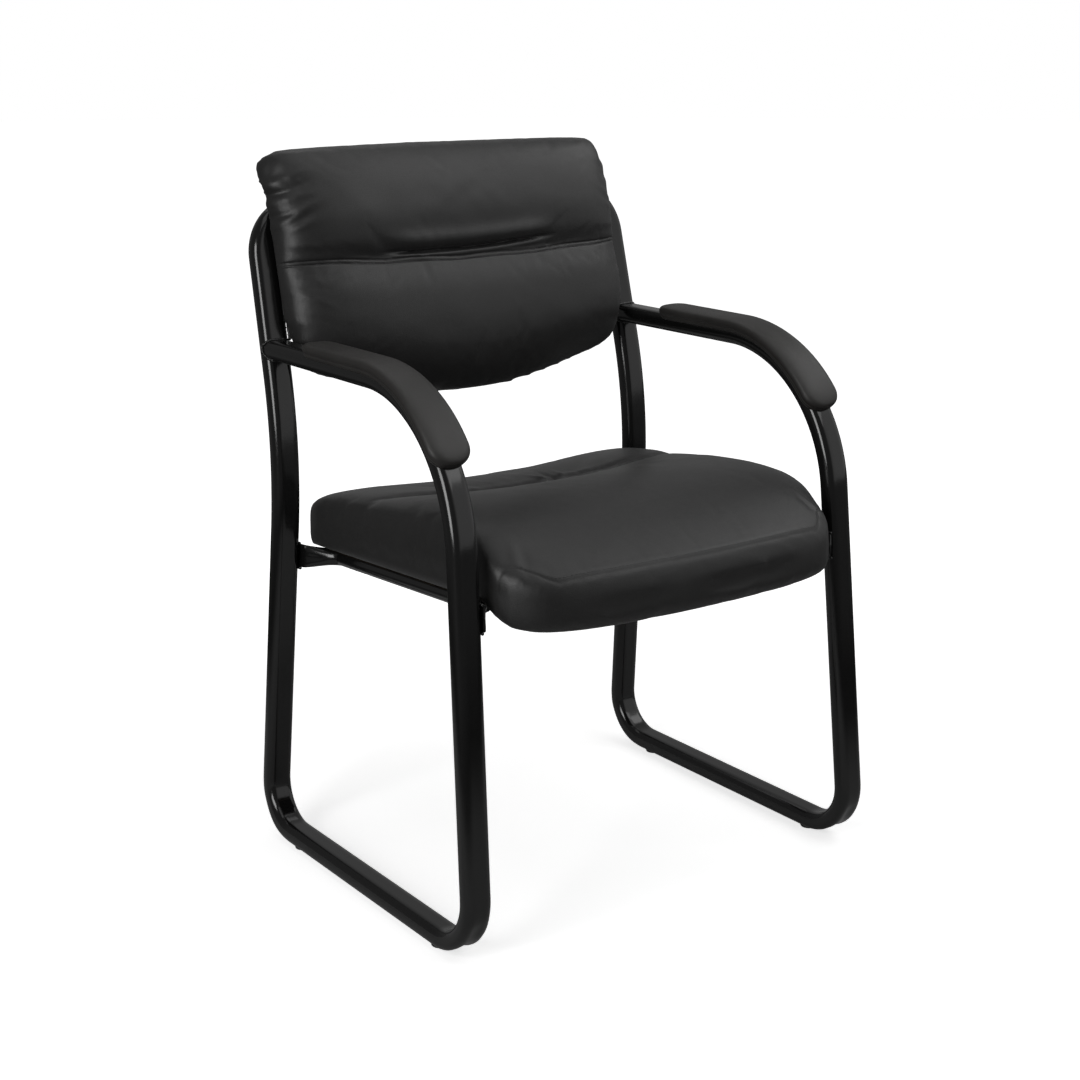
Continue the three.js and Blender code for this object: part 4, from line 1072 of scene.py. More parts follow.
def build_side_tubes():
    """Both side tubes, hollow, with the inner wall crushed at the foot bends and the arm's end coped."""
    side, s = Side(), sizes("chair_frame")
    points, tangents, bends, parts = bent_line(side.corners(), 0.012, 0.0032)
    wides, deeps = line_frames(tangents, side.normal)
    dents = dent_share(bends, parts) * s.foot_dent
    rings = []
    for grow in (0, -s.tube_wall):
        section = flat_oval(s.tube_wide + 2 * grow, s.tube_deep + 2 * grow, s.tube_corner + grow)
        layer = []
        for i, point in enumerate(points):
            shape = section
            if abs(dents[i]) > 1e-6:
                shape = dented(section * [1, -1], dents[i], s.tube_wide) * [1, -1]
            layer.append(point + shape[:, :1] * wides[i] + shape[:, 1:] * deeps[i])
        layer[0][:, 1] = side.face_depth(layer[0][:, 0] - side.at(layer[0][:, 2]), layer[0][:, 2])
        rings += layer if grow == 0 else layer[::-1]
    points, faces = skin(rings, closed=True)
    tube = carve(new_object("tube", points, faces), drills(tube_holes(side)))
    show_both(tube, "side_tube", on_floor, powder_coat(), 50)


def drills(holes):
    """One object of round cutters. Each hole is its start, its end and its radius."""
    points, faces = [], []
    for start, end, radius in holes:
        along = Vector(np.subtract(end, start))
        place = Matrix.Translation(Vector(start)) @ along.to_track_quat("Z", "Y").to_matrix().to_4x4()
        rings, sides = skin(lathe([(radius, 0), (radius, along.length)], 32))
        faces += [[number + len(points) for number in side] for side in sides]
        points += moved(rings, place).tolist()
    return new_object("drills", points, faces)


def tube_holes(side):
    """The left side tube's holes: for pad screws and their heads, a hoop's screw and the glides' stems."""
    s, c, p = sizes("chair_frame"), sizes("chair_cushions"), sizes("chair_pads")
    screw = p.screw_radius + p.hole_clearance
    holes = []
    for point, out in side.pad_sites(p):
        holes.append((point, point + out * s.tube_deep, screw))
        holes.append((point, point - out * s.tube_deep, p.head_radius + p.access_clearance))
    hoop = np.array([-c.back_screws, side.hoop_depth, side.hoop_height])
    holes.append((hoop - side.forward * s.tube_deep, hoop + side.forward * s.tube_deep, screw))
    for depth in (-1, 1):
        stem = side.point(depth * (s.runner_half - s.glide_inset), side.low)
        stem[0] = side.at(0)
        holes.append((stem, stem - [0, 0, s.tube_deep], s.glide_stem + c.gap))
    return holes


def rail_ends():
    """Where the rails' round parts and the middles of their flanges lie, in the seat's frame."""
    side, s, c = Side(), sizes("chair_frame"), sizes("chair_cushions")
    height = -c.cover_thick - 2 * c.gap - s.rail_radius
    ends = []
    for depth_at in (side.front_depth, side.rear_depth):
        y, z = 0.0, 0.0
        for _ in range(3):
            y = depth_at(z + c.seat_height + height)
            z = -y * math.tan(c.seat_tilt)
        level = z + c.seat_height + height
        depth = y * math.cos(c.seat_tilt) - (level - c.seat_height) * math.sin(c.seat_tilt)
        ends.append((depth, side.inner(level) - c.gap - s.rail_flat / 2))
    return side.inner(c.seat_height) - s.rail_inset, height, ends


def rail_ring(across, height, depth, turn, flat, sides=40):
    """One ring of a rail, from round at flat 0 to pressed flat at 1."""
    s = sizes("chair_frame")
    a = circle(sides)
    flat_half = s.rail_radius * math.pi / 2 - s.rail_flat / 2
    pressed = s.rail_flat / 2 * signed_power(np.cos(a), 0.3)
    half = lerp(s.rail_radius * np.cos(a), pressed, flat)
    up = lerp(s.rail_radius, flat_half, flat) * np.sin(a)
    creased = 4 * flat * (1 - flat)
    half = half - np.sign(np.cos(a)) * creased * 0.0019 * bell(np.sin(a), 0.32)
    half = half - np.sign(np.cos(a)) * flat**4 * 0.0006 * bell(np.sin(a), 0.5)
    return np.c_[
        -across - half * math.cos(turn) + s.lean * up * flat,
        depth - half * math.sin(turn),
        height + up,
    ]


def rail_rings():
    """The left rail's rings from its rear tip to its front tip, in the seat's frame."""
    s = sizes("chair_frame")
    across, height, (front, rear) = rail_ends()
    rings = []
    for (depth, end_across), inward in ((rear, -1), (front, 1)):
        part = []
        tip = depth - inward * s.rail_flange / 2
        for along in (0, 0.0006, 0.0018, 0.004, 0.008, 0.013, 0.018):
            tuck = 1 - 0.35 * (1 - min(along / 0.0018, 1)) ** 2
            ring = rail_ring(end_across, height, tip + inward * along, 0, 1)
            middle = ring.mean(axis=0)
            part.append(middle + (ring - middle) * [tuck, 1, 1 - 0.03 * (1 - min(along / 0.0018, 1))])
        for t in np.linspace(0, 1, 26):
            slope = 6 * t * (1 - t) * (across - end_across) / s.rail_joggle
            place = tip + inward * (s.rail_flange + s.rail_joggle * t)
            at, flat = lerp(end_across, across, float(smoothstep(t, 0, 1))), 1 - float(smoothstep(t, 0, 0.7))
            part.append(rail_ring(at, height, place, math.atan(slope) * inward, flat))
        rings.append(part)
    start, stop = rings[0][-1][0, 1], rings[1][-1][0, 1]
    run = [rail_ring(across, height, lerp(start, stop, i / 9), 0, 0) for i in range(1, 9)]
    return [*rings[0], *run, *rings[1][::-1]]


def build_rails():
    """Both seat rails with their flattened ends, and the two coped cross bars."""
    s, c, p = sizes("chair_frame"), sizes("chair_cushions"), sizes("chair_pads")
    across, height, (front, rear) = rail_ends()
    points, faces = skin(rail_rings())
    straight = s.rail_joggle + s.rail_flange / 2
    centre = np.array([-across, 0, height])
    ends = centre + [0, front[0] + straight, 0], centre + [0, rear[0] - straight, 0]
    rail = carve(new_object("rail", points, faces), drills([(*ends, s.rail_radius - s.rail_wall)]))
    holes = []
    for depth in (-c.screw_front, c.screw_rear):
        place = centre + [0, depth, 0]
        holes.append((place, place + [0, 0, 2 * s.rail_radius], p.screw_radius + p.hole_clearance))
        holes.append((place, place - [0, 0, 2 * s.rail_radius], p.head_radius + p.access_clearance))
    show_both(carve(rail, drills(holes)), "seat_rail", on_seat, powder_coat(), 60)
    a = circle(40)
    up = s.rail_radius * np.sin(a)
    end = across - np.sqrt(np.maximum((s.rail_radius + c.gap) ** 2 - up**2, 0))
    for label, depth in (("front", -s.front_bar), ("rear", s.rear_bar)):
        bar = depth + s.rail_radius * np.cos(a)
        points, faces = skin([np.c_[end * t, bar, height + up] for t in np.linspace(-1, 1, 9)])
        show(f"{label}_cross_bar", on_seat(points), faces, powder_coat(), 60)


def build_strap():
    """The flat strap between the posts, with its edges rounded."""
    side, s = Side(), sizes("chair_frame")
    half = side.inner(s.kink_height + s.strap_rise * math.cos(s.back_angle)) - s.weld_gap
    lean = s.lean * s.strap_height / 2
    low, high = s.strap_rise - s.strap_height / 2, s.strap_rise + s.strap_height / 2
    outline = [(-half - lean, low), (half + lean, low), (half - lean, high), (-half + lean, high)]
    points, faces = prism(outline, s.tube_deep / 2 - s.strap_thick, s.tube_deep / 2)
    strap = new_object("shown_back_strap", on_back(points), faces, powder_coat())
    bevel_edges(strap, 0.0009, 3)
    finish_mesh(strap, powder_coat(), 50)
    piece(strap, ["back_strap"])


def weld_lines():
    """The lines of the left side's weld beads, in the chair's frame."""
    side, s = Side(), sizes("chair_frame")
    proud = 0.0006
    section = flat_oval(s.tube_wide + 0.001, s.tube_deep + 0.001, s.tube_corner)
    wides, deeps = side.normal, unit(np.cross(unit([0, -1, 0]), side.normal))
    cope = side.point(0, s.arm_height) + section[:, :1] * wides + section[:, 1:] * deeps
    cope[:, 1] = side.face_depth(cope[:, 0] - side.at(cope[:, 2]), cope[:, 2]) - proud
    lines = [on_floor(np.r_[cope, cope[:1]])]
    across, height, ends = rail_ends()
    flange = s.rail_flange / 2 - 0.002
    for depth, end_across in ends:
        edge = -end_across - s.rail_flat / 2
        for sign in (-1, 1):
            reach = sign * (s.rail_radius * math.pi / 2 - 0.001)
            line = [(edge + s.lean * reach, depth + k * flange, height + reach) for k in (-1, 1)]
            lines.append(on_seat(line))
    a = np.arange(25) / 24 * 2 * math.pi
    up = (s.rail_radius + proud) * np.sin(a)
    reach = across - np.sqrt(np.maximum((s.rail_radius + 0.0008) ** 2 - up**2, 0))
    for depth in (-s.front_bar, s.rear_bar):
        lines.append(on_seat(np.c_[-reach, depth + (s.rail_radius + proud) * np.cos(a), height + up]))
    half = side.inner(s.kink_height + s.strap_rise * math.cos(s.back_angle))
    forward = s.tube_deep / 2 - s.strap_thick
    lines.append(on_back([(-half + proud, s.strap_rise + k * s.strap_height / 2, forward) for k in (-1, 1)]))
    return lines


def build_welds():
    """Rippled weld beads where the tubes, rails, bars and strap meet."""
    s, lines = sizes("chair_frame"), weld_lines()
    lines += [line * [-1, 1, 1] for line in lines]
    size = (s.bead, s.bead * 0.9, s.bead * 0.9)
    beads = row("weld_beads", lines, ball_item(), powder_coat(), s.bead_pitch, size, jitter=0.14, swing=0.3)
    piece(beads, [])


def lathe(profile, sides=40):
    """Rings of a turned shape about Z, from rows of radius and height."""
    a = circle(sides)
    return [np.c_[r * np.cos(a), r * np.sin(a), np.full(sides, z)] for r, z in profile]


def build_glides():
    """The four glides: low domed discs with a chamfered foot, under the runners."""
    side, s = Side(), sizes("chair_frame")
    r, h = s.glide_radius, s.glide_height
    profile = [
        (r * 0.02, -h), (r * 0.7, -h), (r * 0.84, -h * 0.96), (r * 0.95, -h * 0.82), (r, -h * 0.6),
        (r, -h * 0.38), (r * 0.985, -h * 0.3), (r * 0.985, -h * 0.18), (r * 0.96, -h * 0.09),
        (s.glide_stem, -h * 0.08),
        (s.glide_stem, 0.009), (s.glide_stem * 0.1, 0.009),
    ]
    points, faces = skin(lathe(profile))
    for label, sign in SIDES.items():
        for end, depth in (("front", -1), ("rear", 1)):
            place = [-sign * side.at(0), depth * (s.runner_half - s.glide_inset), 0]
            name = f"{end}_{label}_glide"
            show(name, on_floor(points + place), faces, black_plastic(), 35)


# Fasteners


def screw_rings(size):
    """A pan head with a hexagon socket, and its threaded shank, pointing up Z from under the head."""
    p = sizes("chair_pads")
    r, h, shank = p.head_radius, p.head_height, p.screw_radius
    sides, pitch = 48, 0.001
    a = circle(sides)
    hexagon = shank * 0.72 / np.cos((a + math.pi / 6) % (math.pi / 3) - math.pi / 6)

    def ring(radius, z):
        radius = radius * np.ones(sides)
        return np.c_[radius * np.cos(a), radius * np.sin(a), np.full(sides, z)]

    rings = [ring(0.0002, -h * 0.3), ring(hexagon * 0.98, -h * 0.34)]
    rings += [ring(hexagon, -h * 0.96), ring(hexagon * 1.08, -h)]
    for t in np.linspace(0.1, 1, 8):
        turn = t * math.pi / 2
        rings.append(ring(r * (0.5 + 0.5 * math.sin(turn)), -h * (0.22 + 0.78 * math.cos(turn) ** 0.8)))
    rings += [ring(r, -h * 0.06), ring(r * 0.97, 0), ring(shank, 0)]
    for k in range(int(size / pitch * 2) - 1):
        rings.append(ring(shank * (1 if k % 2 == 0 else 0.87), (k + 1) * pitch / 2))
    rings += [ring(shank * 0.85, size - 0.0012), ring(shank * 0.5, size)]
    return rings


def pad_head_place():
    """How far above the arm's centre line the pad screws' heads bear on the tube's upper wall."""
    s, c, p = sizes("chair_frame"), sizes("chair_cushions"), sizes("chair_pads")
    bore = s.arm_radius + s.tube_deep / 2 - s.tube_wall
    facet = math.pi / 2 / 12 / 2
    gap = c.gap + p.head_radius**2 / bore / 2 + bore * (1 - math.cos(facet))
    return s.tube_deep / 2 - s.tube_wall - gap


def build_screws():
    """All twelve screws, each where its CAD node is."""
    side, s, c, p = Side(), sizes("chair_frame"), sizes("chair_cushions"), sizes("chair_pads")
    across, height, _ = rail_ends()
    nut = 0.0016

    def add(name, size, matrix):
        points, faces = skin(screw_rings(size))
        show(name, moved(points, matrix), faces, black_screw(), 32)

    bore = (s.rail_radius - s.rail_wall) * math.cos(math.pi / 12)
    head = height + math.sqrt(bore**2 - p.head_radius**2) - c.gap
    board_front = s.tube_deep / 2 + 2 * c.gap + c.back_cover + c.back_board
    levels = {
        "lower": (s.strap_rise, s.tube_deep / 2 - s.strap_thick), "upper": (s.hoop_rise, -s.tube_deep / 2),
    }
    for label, sign in SIDES.items():
        for end, depth in (("front", -c.screw_front), ("rear", c.screw_rear)):
            place = seat_place() @ Matrix.Translation((sign * across, depth, head))
            add(f"seat_screw_{end}_{label}", c.board_thick - nut - head, place)
        for level, (rise, back) in levels.items():
            place = back_place() @ Matrix.Translation((sign * c.back_screws, rise, back - c.gap))
            add(f"back_screw_{level}_{label}", board_front - nut - back + c.gap, place)
        reach = pad_head_place()
        for end, (point, out) in zip(("rear", "front"), side.pad_sites(p)):
            start = on_floor((point + out * reach) * [-sign, 1, 1])
            turn = Vector(out * [-sign, 1, 1]).to_track_quat("Z", "Y").to_matrix().to_4x4()
            size = s.tube_deep / 2 - reach + p.base_thick + p.boss_height / 2
            add(f"{end}_{label}_pad_screw", size, Matrix.Translation(start) @ turn)


# Cushions: tables of shares along a cushion, from the front or the bottom to its other end

# Share along, top in the middle, top at the sides, underside, width
SEAT_STATIONS = [
    (0, 0.07, 0.07, -0.22, 0.7), (0.004, 0.22, 0.22, -0.31, 0.79), (0.01, 0.32, 0.32, -0.365, 0.84),
    (0.028, 0.43, 0.43, -0.41, 0.905), (0.063, 0.55, 0.56, -0.4, 0.967), (0.11, 0.69, 0.7, -0.28, 0.99),
    (0.15, 0.785, 0.83, -0.1, 1), (0.175, 0.83, 0.9, 0, 1), (0.23, 0.92, 1.01, 0, 1), (0.3, 0.98, 1.07, 0, 1),
    (0.38, 1, 1.1, 0, 1), (0.48, 0.97, 1.095, 0, 1), (0.57, 0.9, 1.065, 0, 1), (0.64, 0.81, 1.045, 0, 1),
    (0.675, 0.72, 1.035, 0, 1), (0.693, 0.64, 1.025, 0, 1), (0.711, 0.71, 1.025, 0, 1),
    (0.75, 0.755, 1.02, 0, 1), (0.81, 0.75, 0.99, 0, 1), (0.87, 0.72, 0.95, 0, 1), (0.93, 0.67, 0.87, 0, 1),
    (0.97, 0.6, 0.75, 0, 0.985), (0.992, 0.5, 0.58, 0.02, 0.95), (1, 0.4, 0.42, 0.1, 0.88),
]
# Share along, front face, rear face, width
BACK_STATIONS = [
    (0, 0.3, 0.1, 0.84), (0.012, 0.42, 0.03, 0.9), (0.045, 0.62, 0, 0.937), (0.11, 0.84, 0, 0.957),
    (0.2, 0.97, 0, 0.972), (0.3, 1, 0, 0.985), (0.4, 0.99, 0, 0.984), (0.47, 0.94, 0, 0.984),
    (0.515, 0.87, 0, 0.984), (0.545, 0.8, 0, 0.984), (0.575, 0.88, 0, 0.984), (0.62, 0.97, 0, 0.984),
    (0.7, 1, 0, 0.984), (0.79, 0.95, 0, 0.984), (0.87, 0.87, 0, 0.984), (0.93, 0.77, 0, 0.984),
    (0.97, 0.65, 0, 0.97), (0.99, 0.5, 0.02, 0.94), (1, 0.34, 0.08, 0.89),
]


def dense_shares(table, between=3):
    """The shares of a table with some more between each two."""
    marks = [entry[0] for entry in table]
    dense = [lerp(a, b, k / between) for a, b in zip(marks[:-1], marks[1:]) for k in range(between)]
    return np.array([*dense, marks[-1]])


def station_values(table, shares):
    """Smooth values of a table's columns at shares along it."""
    entries = np.array(table, float)
    return [monotone(shares, entries[:, 0], column) for column in entries[:, 1:].T]


def ring_angles(side_power, quarter_points=20):
    """Angles round a cushion's ring that place its points close together towards its sides."""
    shares = np.sin(np.linspace(0, math.pi / 2, quarter_points))
    quarter = np.arccos(shares ** (1 / side_power))
    upper = [*quarter[1:][::-1], *(math.pi - quarter)]
    return np.array([*upper, *[2 * math.pi - a for a in upper[1:-1][::-1]]])


def seat_half(c):
    """Half the width of the seat."""
    return Side().inner(c.seat_height) - c.seat_gap


def cushion_half(c):
    """Half the width of the filled-out seat cushion."""
    return seat_half(c) + c.seat_full


def seat_rings():
    """The seat cushion's rings, in the seat's frame."""
    c = sizes("chair_cushions")
    half, deep = cushion_half(c), c.seat_front + c.seat_rear
    a = ring_angles(0.45)
    across = signed_power(np.cos(a), 0.45)
    rings = []
    shares = dense_shares(SEAT_STATIONS)
    for t, top, side, under, width in zip(shares, *station_values(SEAT_STATIONS, shares)):
        crest = c.seat_thick * lerp(top, side, np.abs(across) ** 2.2)
        low = c.seat_thick * under
        waist = lerp(low, c.seat_thick * top, 0.42)
        soft = 0.3 * (1 - float(smoothstep(t, 0.1, 0.2)))
        up = np.where(
            np.sin(a) >= 0, waist + (crest - waist) * np.abs(np.sin(a)) ** 0.27,
            waist - (waist - low) * np.abs(np.sin(a)) ** soft,
        )
        bow = c.seat_bow * (1 - float(smoothstep(t, 0, 0.35))) * np.abs(width * across) ** 2.4
        rings.append(np.c_[half * width * across, -c.seat_front + deep * t + bow, up])
    return rings


def seat_outline(inset, c):
    """The seat board's outline from above, drawn in by an inset."""
    half, rear = seat_half(c) - inset, c.seat_rear - inset
    front = -(c.seat_front - c.board_front - inset + c.board_inset)
    side, corner = front + c.seat_bow, c.board_corner

    def bend(start, middle, end):
        t = np.linspace(0, 1, 12)[1:, None]
        start, middle, end = (np.array(p) for p in (start, middle, end))
        return list(start * (1 - t) ** 2 + 2 * middle * t * (1 - t) + end * t * t)

    shoulder = side - c.seat_bow / 3
    points = [np.array([-half, side + corner])]
    points += bend(points[-1], (-half, side), (-half + corner, shoulder))
    points += bend(points[-1], (0, front - c.seat_bow / 6), (half - corner, shoulder))
    points += bend(points[-1], (half, side), (half, side + corner))
    points += [np.array([half, rear - corner])]
    points += bend(points[-1], (half, rear), (half - corner, rear))
    points += [np.array([-half + corner, rear])]
    points += bend(points[-1], (-half, rear), (-half, rear - corner))
    return np.array(points)


def seat_room(c):
    """The room in the seat for its board: a flat plate whose front curls down."""
    start = -(c.seat_front - c.board_front - c.board_curl - c.board_inset)
    centre, below = -(c.board_curl - c.board_thick), 0.0015
    low, high = -c.gap, c.board_thick + c.gap
    turns = np.linspace(0, c.board_turn + c.gap / c.board_curl, 14)

    def curl(height):
        reach = height - centre
        return [(start - reach * math.sin(t), centre + reach * math.cos(t)) for t in turns]

    # Down past the underside, so that the cut leaves no skin under the flat part.
    lower = [(y, z - below) if y > start - 1e-6 else (y, z) for y, z in curl(low)[::-1]]
    profile = [(c.seat_rear, low - below), (c.seat_rear, high), *curl(high), *lower]
    half = seat_half(c)
    points, faces = skin([[(x, y, z) for y, z in profile] for x in (-half, half)])
    room = new_object("room", points, faces)
    outline, faces = prism(seat_outline(c.board_inset - 2 * c.gap, c), -c.seat_thick, c.seat_thick)
    return carve(room, new_object("outline", outline, faces), "INTERSECT")


def back_sizes():
    """The back's height, half width, and the faces of its cover and board."""
    side, s, c = Side(), sizes("chair_frame"), sizes("chair_cushions")
    height = s.hoop_rise + c.back_over - c.back_bottom
    middle = s.kink_height + (c.back_bottom + height / 2) * math.cos(s.back_angle)
    half = side.inner(middle) + c.back_over_post
    cover = s.tube_deep / 2 + c.gap
    return types.SimpleNamespace(height=height, half=half, cover=cover, board=cover + c.back_cover + c.gap)


def back_rise(t, across, c, b):
    """How far a place is above the back's lowest point."""
    bow = 1 - smoothstep(t, 0, 0.5)
    crown = smoothstep(t, 0.5, 1)
    return b.height * t + c.back_bow * bow * np.abs(across) ** 1.6 - c.back_crown * crown * across**2


def back_rings():
    """The back cushion's rings, in the back's frame."""
    c, b = sizes("chair_cushions"), back_sizes()
    a = ring_angles(0.46)
    across = signed_power(np.cos(a), 0.46)
    rings = []
    shares = dense_shares(BACK_STATIONS)
    for t, front, rear, width in zip(shares, *station_values(BACK_STATIONS, shares)):
        face, behind = b.board + c.back_thick * front, b.board + c.back_thick * rear
        waist = lerp(behind, face, 0.07)
        forward = np.where(
            np.sin(a) > 0, waist + (face - waist) * np.abs(np.sin(a)) ** 0.82,
            waist - (waist - behind) * np.abs(np.sin(a)) ** 0.24,
        )
        ear = c.back_ear * smoothstep(t, 0.84, 0.95) * smoothstep(np.abs(width * across), 0.9, 0.97)
        forward = forward - ear * (1 - smoothstep(forward, waist, face))
        rise = c.back_bottom + back_rise(t, width * across, c, b)
        rings.append(np.c_[b.half * width * across, rise, forward])
    return rings


def back_outline(inset, c, b):
    """The outline of the back's board or cover, drawn in from the cushion's by an inset."""
    shares = dense_shares(BACK_STATIONS, 2)
    width = station_values(BACK_STATIONS, shares)[2]
    rise = back_rise(shares, width, c, b)
    edge = np.c_[b.half * width - inset, c.back_bottom + rise + inset * (1 - 2 * shares)]
    steps, foot_width = np.arange(10) / 10, BACK_STATIONS[0][3]
    rise = back_rise(0.0, steps * foot_width, c, b)
    foot = np.c_[(b.half * foot_width - inset) * steps, c.back_bottom + rise + inset]
    right = np.r_[foot, edge]
    return np.r_[right, right[1:][::-1] * [-1, 1]]


def evened(mesh, values, rounds):
    """Rows of values at a mesh's vertices, each averaged with its neighbours a number of times."""
    ends = np.empty(len(mesh.edges) * 2, np.intc)
    mesh.edges.foreach_get("vertices", ends)
    start, end = ends.reshape(-1, 2).T
    number = len(values)
    here, there = np.r_[start, end], np.r_[end, start]
    near = np.bincount(here, minlength=number)[:, None]
    for _ in range(rounds):
        total = np.stack([np.bincount(here, column, number) for column in values[there].T], 1)
        values = (values + total / near) / 2
    return values


def puffed(obj, held_of, c):
    """Blows a closed mesh up with cloth. Held points stay, and the others keep a share of their moves."""
    mesh, frames = obj.data, 20
    start, facing = coordinates(mesh), normals(mesh)
    held = np.clip(held_of(start, facing), 0, 1)
    free = (1 - held)[:, None]
    set_coordinates(mesh, start - facing * c.shrink * free)
    group = obj.vertex_groups.new(name="held")
    for i, weight in enumerate(held):
        if weight > 0.02:
            group.add([i], float(weight), "REPLACE")
    cloth = obj.modifiers.new("puff", "CLOTH")
    cloth.point_cache.frame_start, cloth.point_cache.frame_end = 1, frames
    cloth.collision_settings.use_collision = False
    cloth.settings.effector_weights.gravity = 0
    for key, value in {
        "quality": 5, "mass": 0.3, "use_pressure": True, "uniform_pressure_force": c.pressure,
        "vertex_group_mass": group.name, "pin_stiffness": 3, "shrink_min": -0.004,
    }.items():
        setattr(cloth.settings, key, value)
    for number in range(1, frames + 1):
        bpy.context.scene.frame_set(number)
    evaluated = obj.evaluated_get(bpy.context.evaluated_depsgraph_get())
    move = coordinates(evaluated.data) - start
    obj.modifiers.remove(cloth)
    bpy.context.scene.frame_set(1)
    slow = evened(mesh, move, 40)
    move = (slow * c.swell + (move - slow) * c.wrinkle) * free
    size = np.linalg.norm(move, axis=1, keepdims=True)
    set_coordinates(mesh, start + move * c.swell_cap * np.tanh(size / c.swell_cap) / np.maximum(size, 1e-9))
    obj.vertex_groups.clear()


def cushion_body(name, rings, voxel, held_of, c):
    """A cushion's mesh: remeshed evenly, blown up and subdivided once."""
    points, faces = skin(rings)
    body = new_object(name, points, faces, weld=1e-5)
    add_modifier(body, "REMESH", mode="VOXEL", voxel_size=voxel)
    baked(body)
    add_modifier(body, "SMOOTH", factor=0.5, iterations=2)
    baked(body)
    puffed(body, held_of, c)
    add_modifier(body, "SUBSURF", levels=1, render_levels=1)
    return baked(body)


def fold_sum(u, v, folds):
    """The height of many small folds. Each is (u, v, direction, length, width, height)."""
    total = np.zeros(len(u))
    for fold_u, fold_v, direction, size, width, height in folds:
        c, s = math.cos(direction), math.sin(direction)
        along = (u - fold_u) * c + (v - fold_v) * s
        aside = -(u - fold_u) * s + (v - fold_v) * c
        total += height * bell(aside, width) * bell(along, size)
    return total


def random_folds(seed, number, u_range, v, direction, spread, size, width, height):
    """Small folds at random places along a line, pointing roughly one way."""
    chance = np.random.default_rng(seed)
    folds = []
    for _ in range(number):
        folds.append((
            chance.uniform(*u_range), v + chance.uniform(-0.004, 0.004),
            direction + chance.uniform(-spread, spread), chance.uniform(*size), chance.uniform(*width),
            chance.uniform(*height) * chance.choice([-1, 1]),
        ))
    return folds


# Where the seams and folds run, and the cuts beside them, in the cushions' frames

SEAT_SEAM = (-0.283, 0.0325)
SEAT_SEAM_CUTS = (-0.003, -0.0014, 0, 0.0014, 0.003)
SEAT_CREASE = 0.0655
SEAT_CREASE_CUTS = (-0.0045, -0.0022, 0, 0.0022, 0.0045)
BACK_SEAM = 0.2225
BACK_SEAM_CUTS = (-0.0035, -0.0022, -0.001, 0, 0.001, 0.0022, 0.0035)
BACK_GATHER = 0.2345
BACK_GATHER_CUTS = (-0.003, -0.0012, 0, 0.0012, 0.003)
BACK_LOBE = 0.345
STITCH_ROW = 0.0022
ACROSS = math.pi / 2
FINE = (0.0001, 0.0004)
FINEST = (0.0001, 0.0003)
CREASE_PLEATS = [
    (0.03, 0.081, 1.9, 0.016, 0.004, 0.0028), (0.046, 0.083, 1.7, 0.018, 0.004, -0.0024),
    (0.062, 0.084, 1.5, 0.015, 0.004, 0.002),
]
# Folds at the seat's front corners: place across, depth, slope outwards and rearwards, length, width, height
CORNER_FOLDS = [
    (0.221, -0.222, -0.015, 0.035, 0.024, 0.006, 0.0012),
    (0.212, -0.226, -0.012, 0.035, 0.022, 0.005, -0.0007),
    (0.2, -0.232, 0.02, 0.03, 0.018, 0.006, 0.0005),
]
# Folds at the back's edges: height, slope, length, height of the fold
EDGE_FOLDS = [
    (0.338, -0.35, 0.02, 0.0022), (0.327, -0.3, 0.018, -0.002), (0.312, -0.1, 0.02, 0.0016),
    (0.292, -0.5, 0.026, 0.0022), (0.284, -0.45, 0.022, -0.0022), (0.276, -0.3, 0.02, 0.0016),
    (0.25, 0.2, 0.016, 0.0012), (0.2, 0.3, 0.018, -0.0014), (0.186, 0.5, 0.022, 0.0016),
    (0.16, 0.4, 0.02, -0.001), (0.12, 0.2, 0.02, 0.001), (0.352, -0.6, 0.016, 0.0014),
]
# Lobes at the back's upper corners: height up the back, half height, how far they stand out
EDGE_LOBES = [
    (0.334, 0.007, 0.0022), (0.321, 0.004, -0.0026), (0.309, 0.006, 0.0014), (0.293, 0.004, -0.0018),
    (0.28, 0.007, 0.001),
]


def seam_depth(x, c):
    """The depth of the seat's front seam at a place across it."""
    bow = c.seat_bow * np.abs(x / cushion_half(c)) ** 2.4 + 0.03 * smoothstep(np.abs(x), 0.19, 0.24)
    return SEAT_SEAM[0] + bow


def crease_line(x):
    """The depth of the seat's sewn crease at a place across it."""
    return SEAT_CREASE + 0.006 * (x / 0.25) ** 2 + 0.0015 * np.sin(x * 38)


def seam_line(x):
    """The height of the back's seam at a place across it."""
    return BACK_SEAM + 0.009 * (x / 0.24) ** 2 + 0.0006 * np.sin(x * 55)


def gather_line(x):
    """The height of the deep fold over the middle of the back's seam."""
    return BACK_GATHER + 0.00003 * x / MILLI + 0.0035 * (x / 0.12) ** 2


def seat_held(c):
    """What holds the seat cushion while it is blown up: its underside, front seam and crease."""

    def held(p, n):
        x, y, z = p.T
        under = smoothstep(-n[:, 2], 0.15, 0.6) * smoothstep(y, -0.26, -0.2)
        low = (1 - smoothstep(z, 0.004, 0.022)) * smoothstep(y, -0.25, -0.19)
        rise = z - SEAT_SEAM[1] - 0.02 * smoothstep(np.abs(x), 0.19, 0.235)
        seam = 0.4 * bell(np.hypot(y - seam_depth(x, c), rise), 0.009)
        middle = 1 - smoothstep(np.abs(x), 0.12, 0.22)
        crease = middle * bell(y - crease_line(x), 0.009) * (z > 0.03)
        return np.maximum.reduce([under, low, seam, crease])

    return held


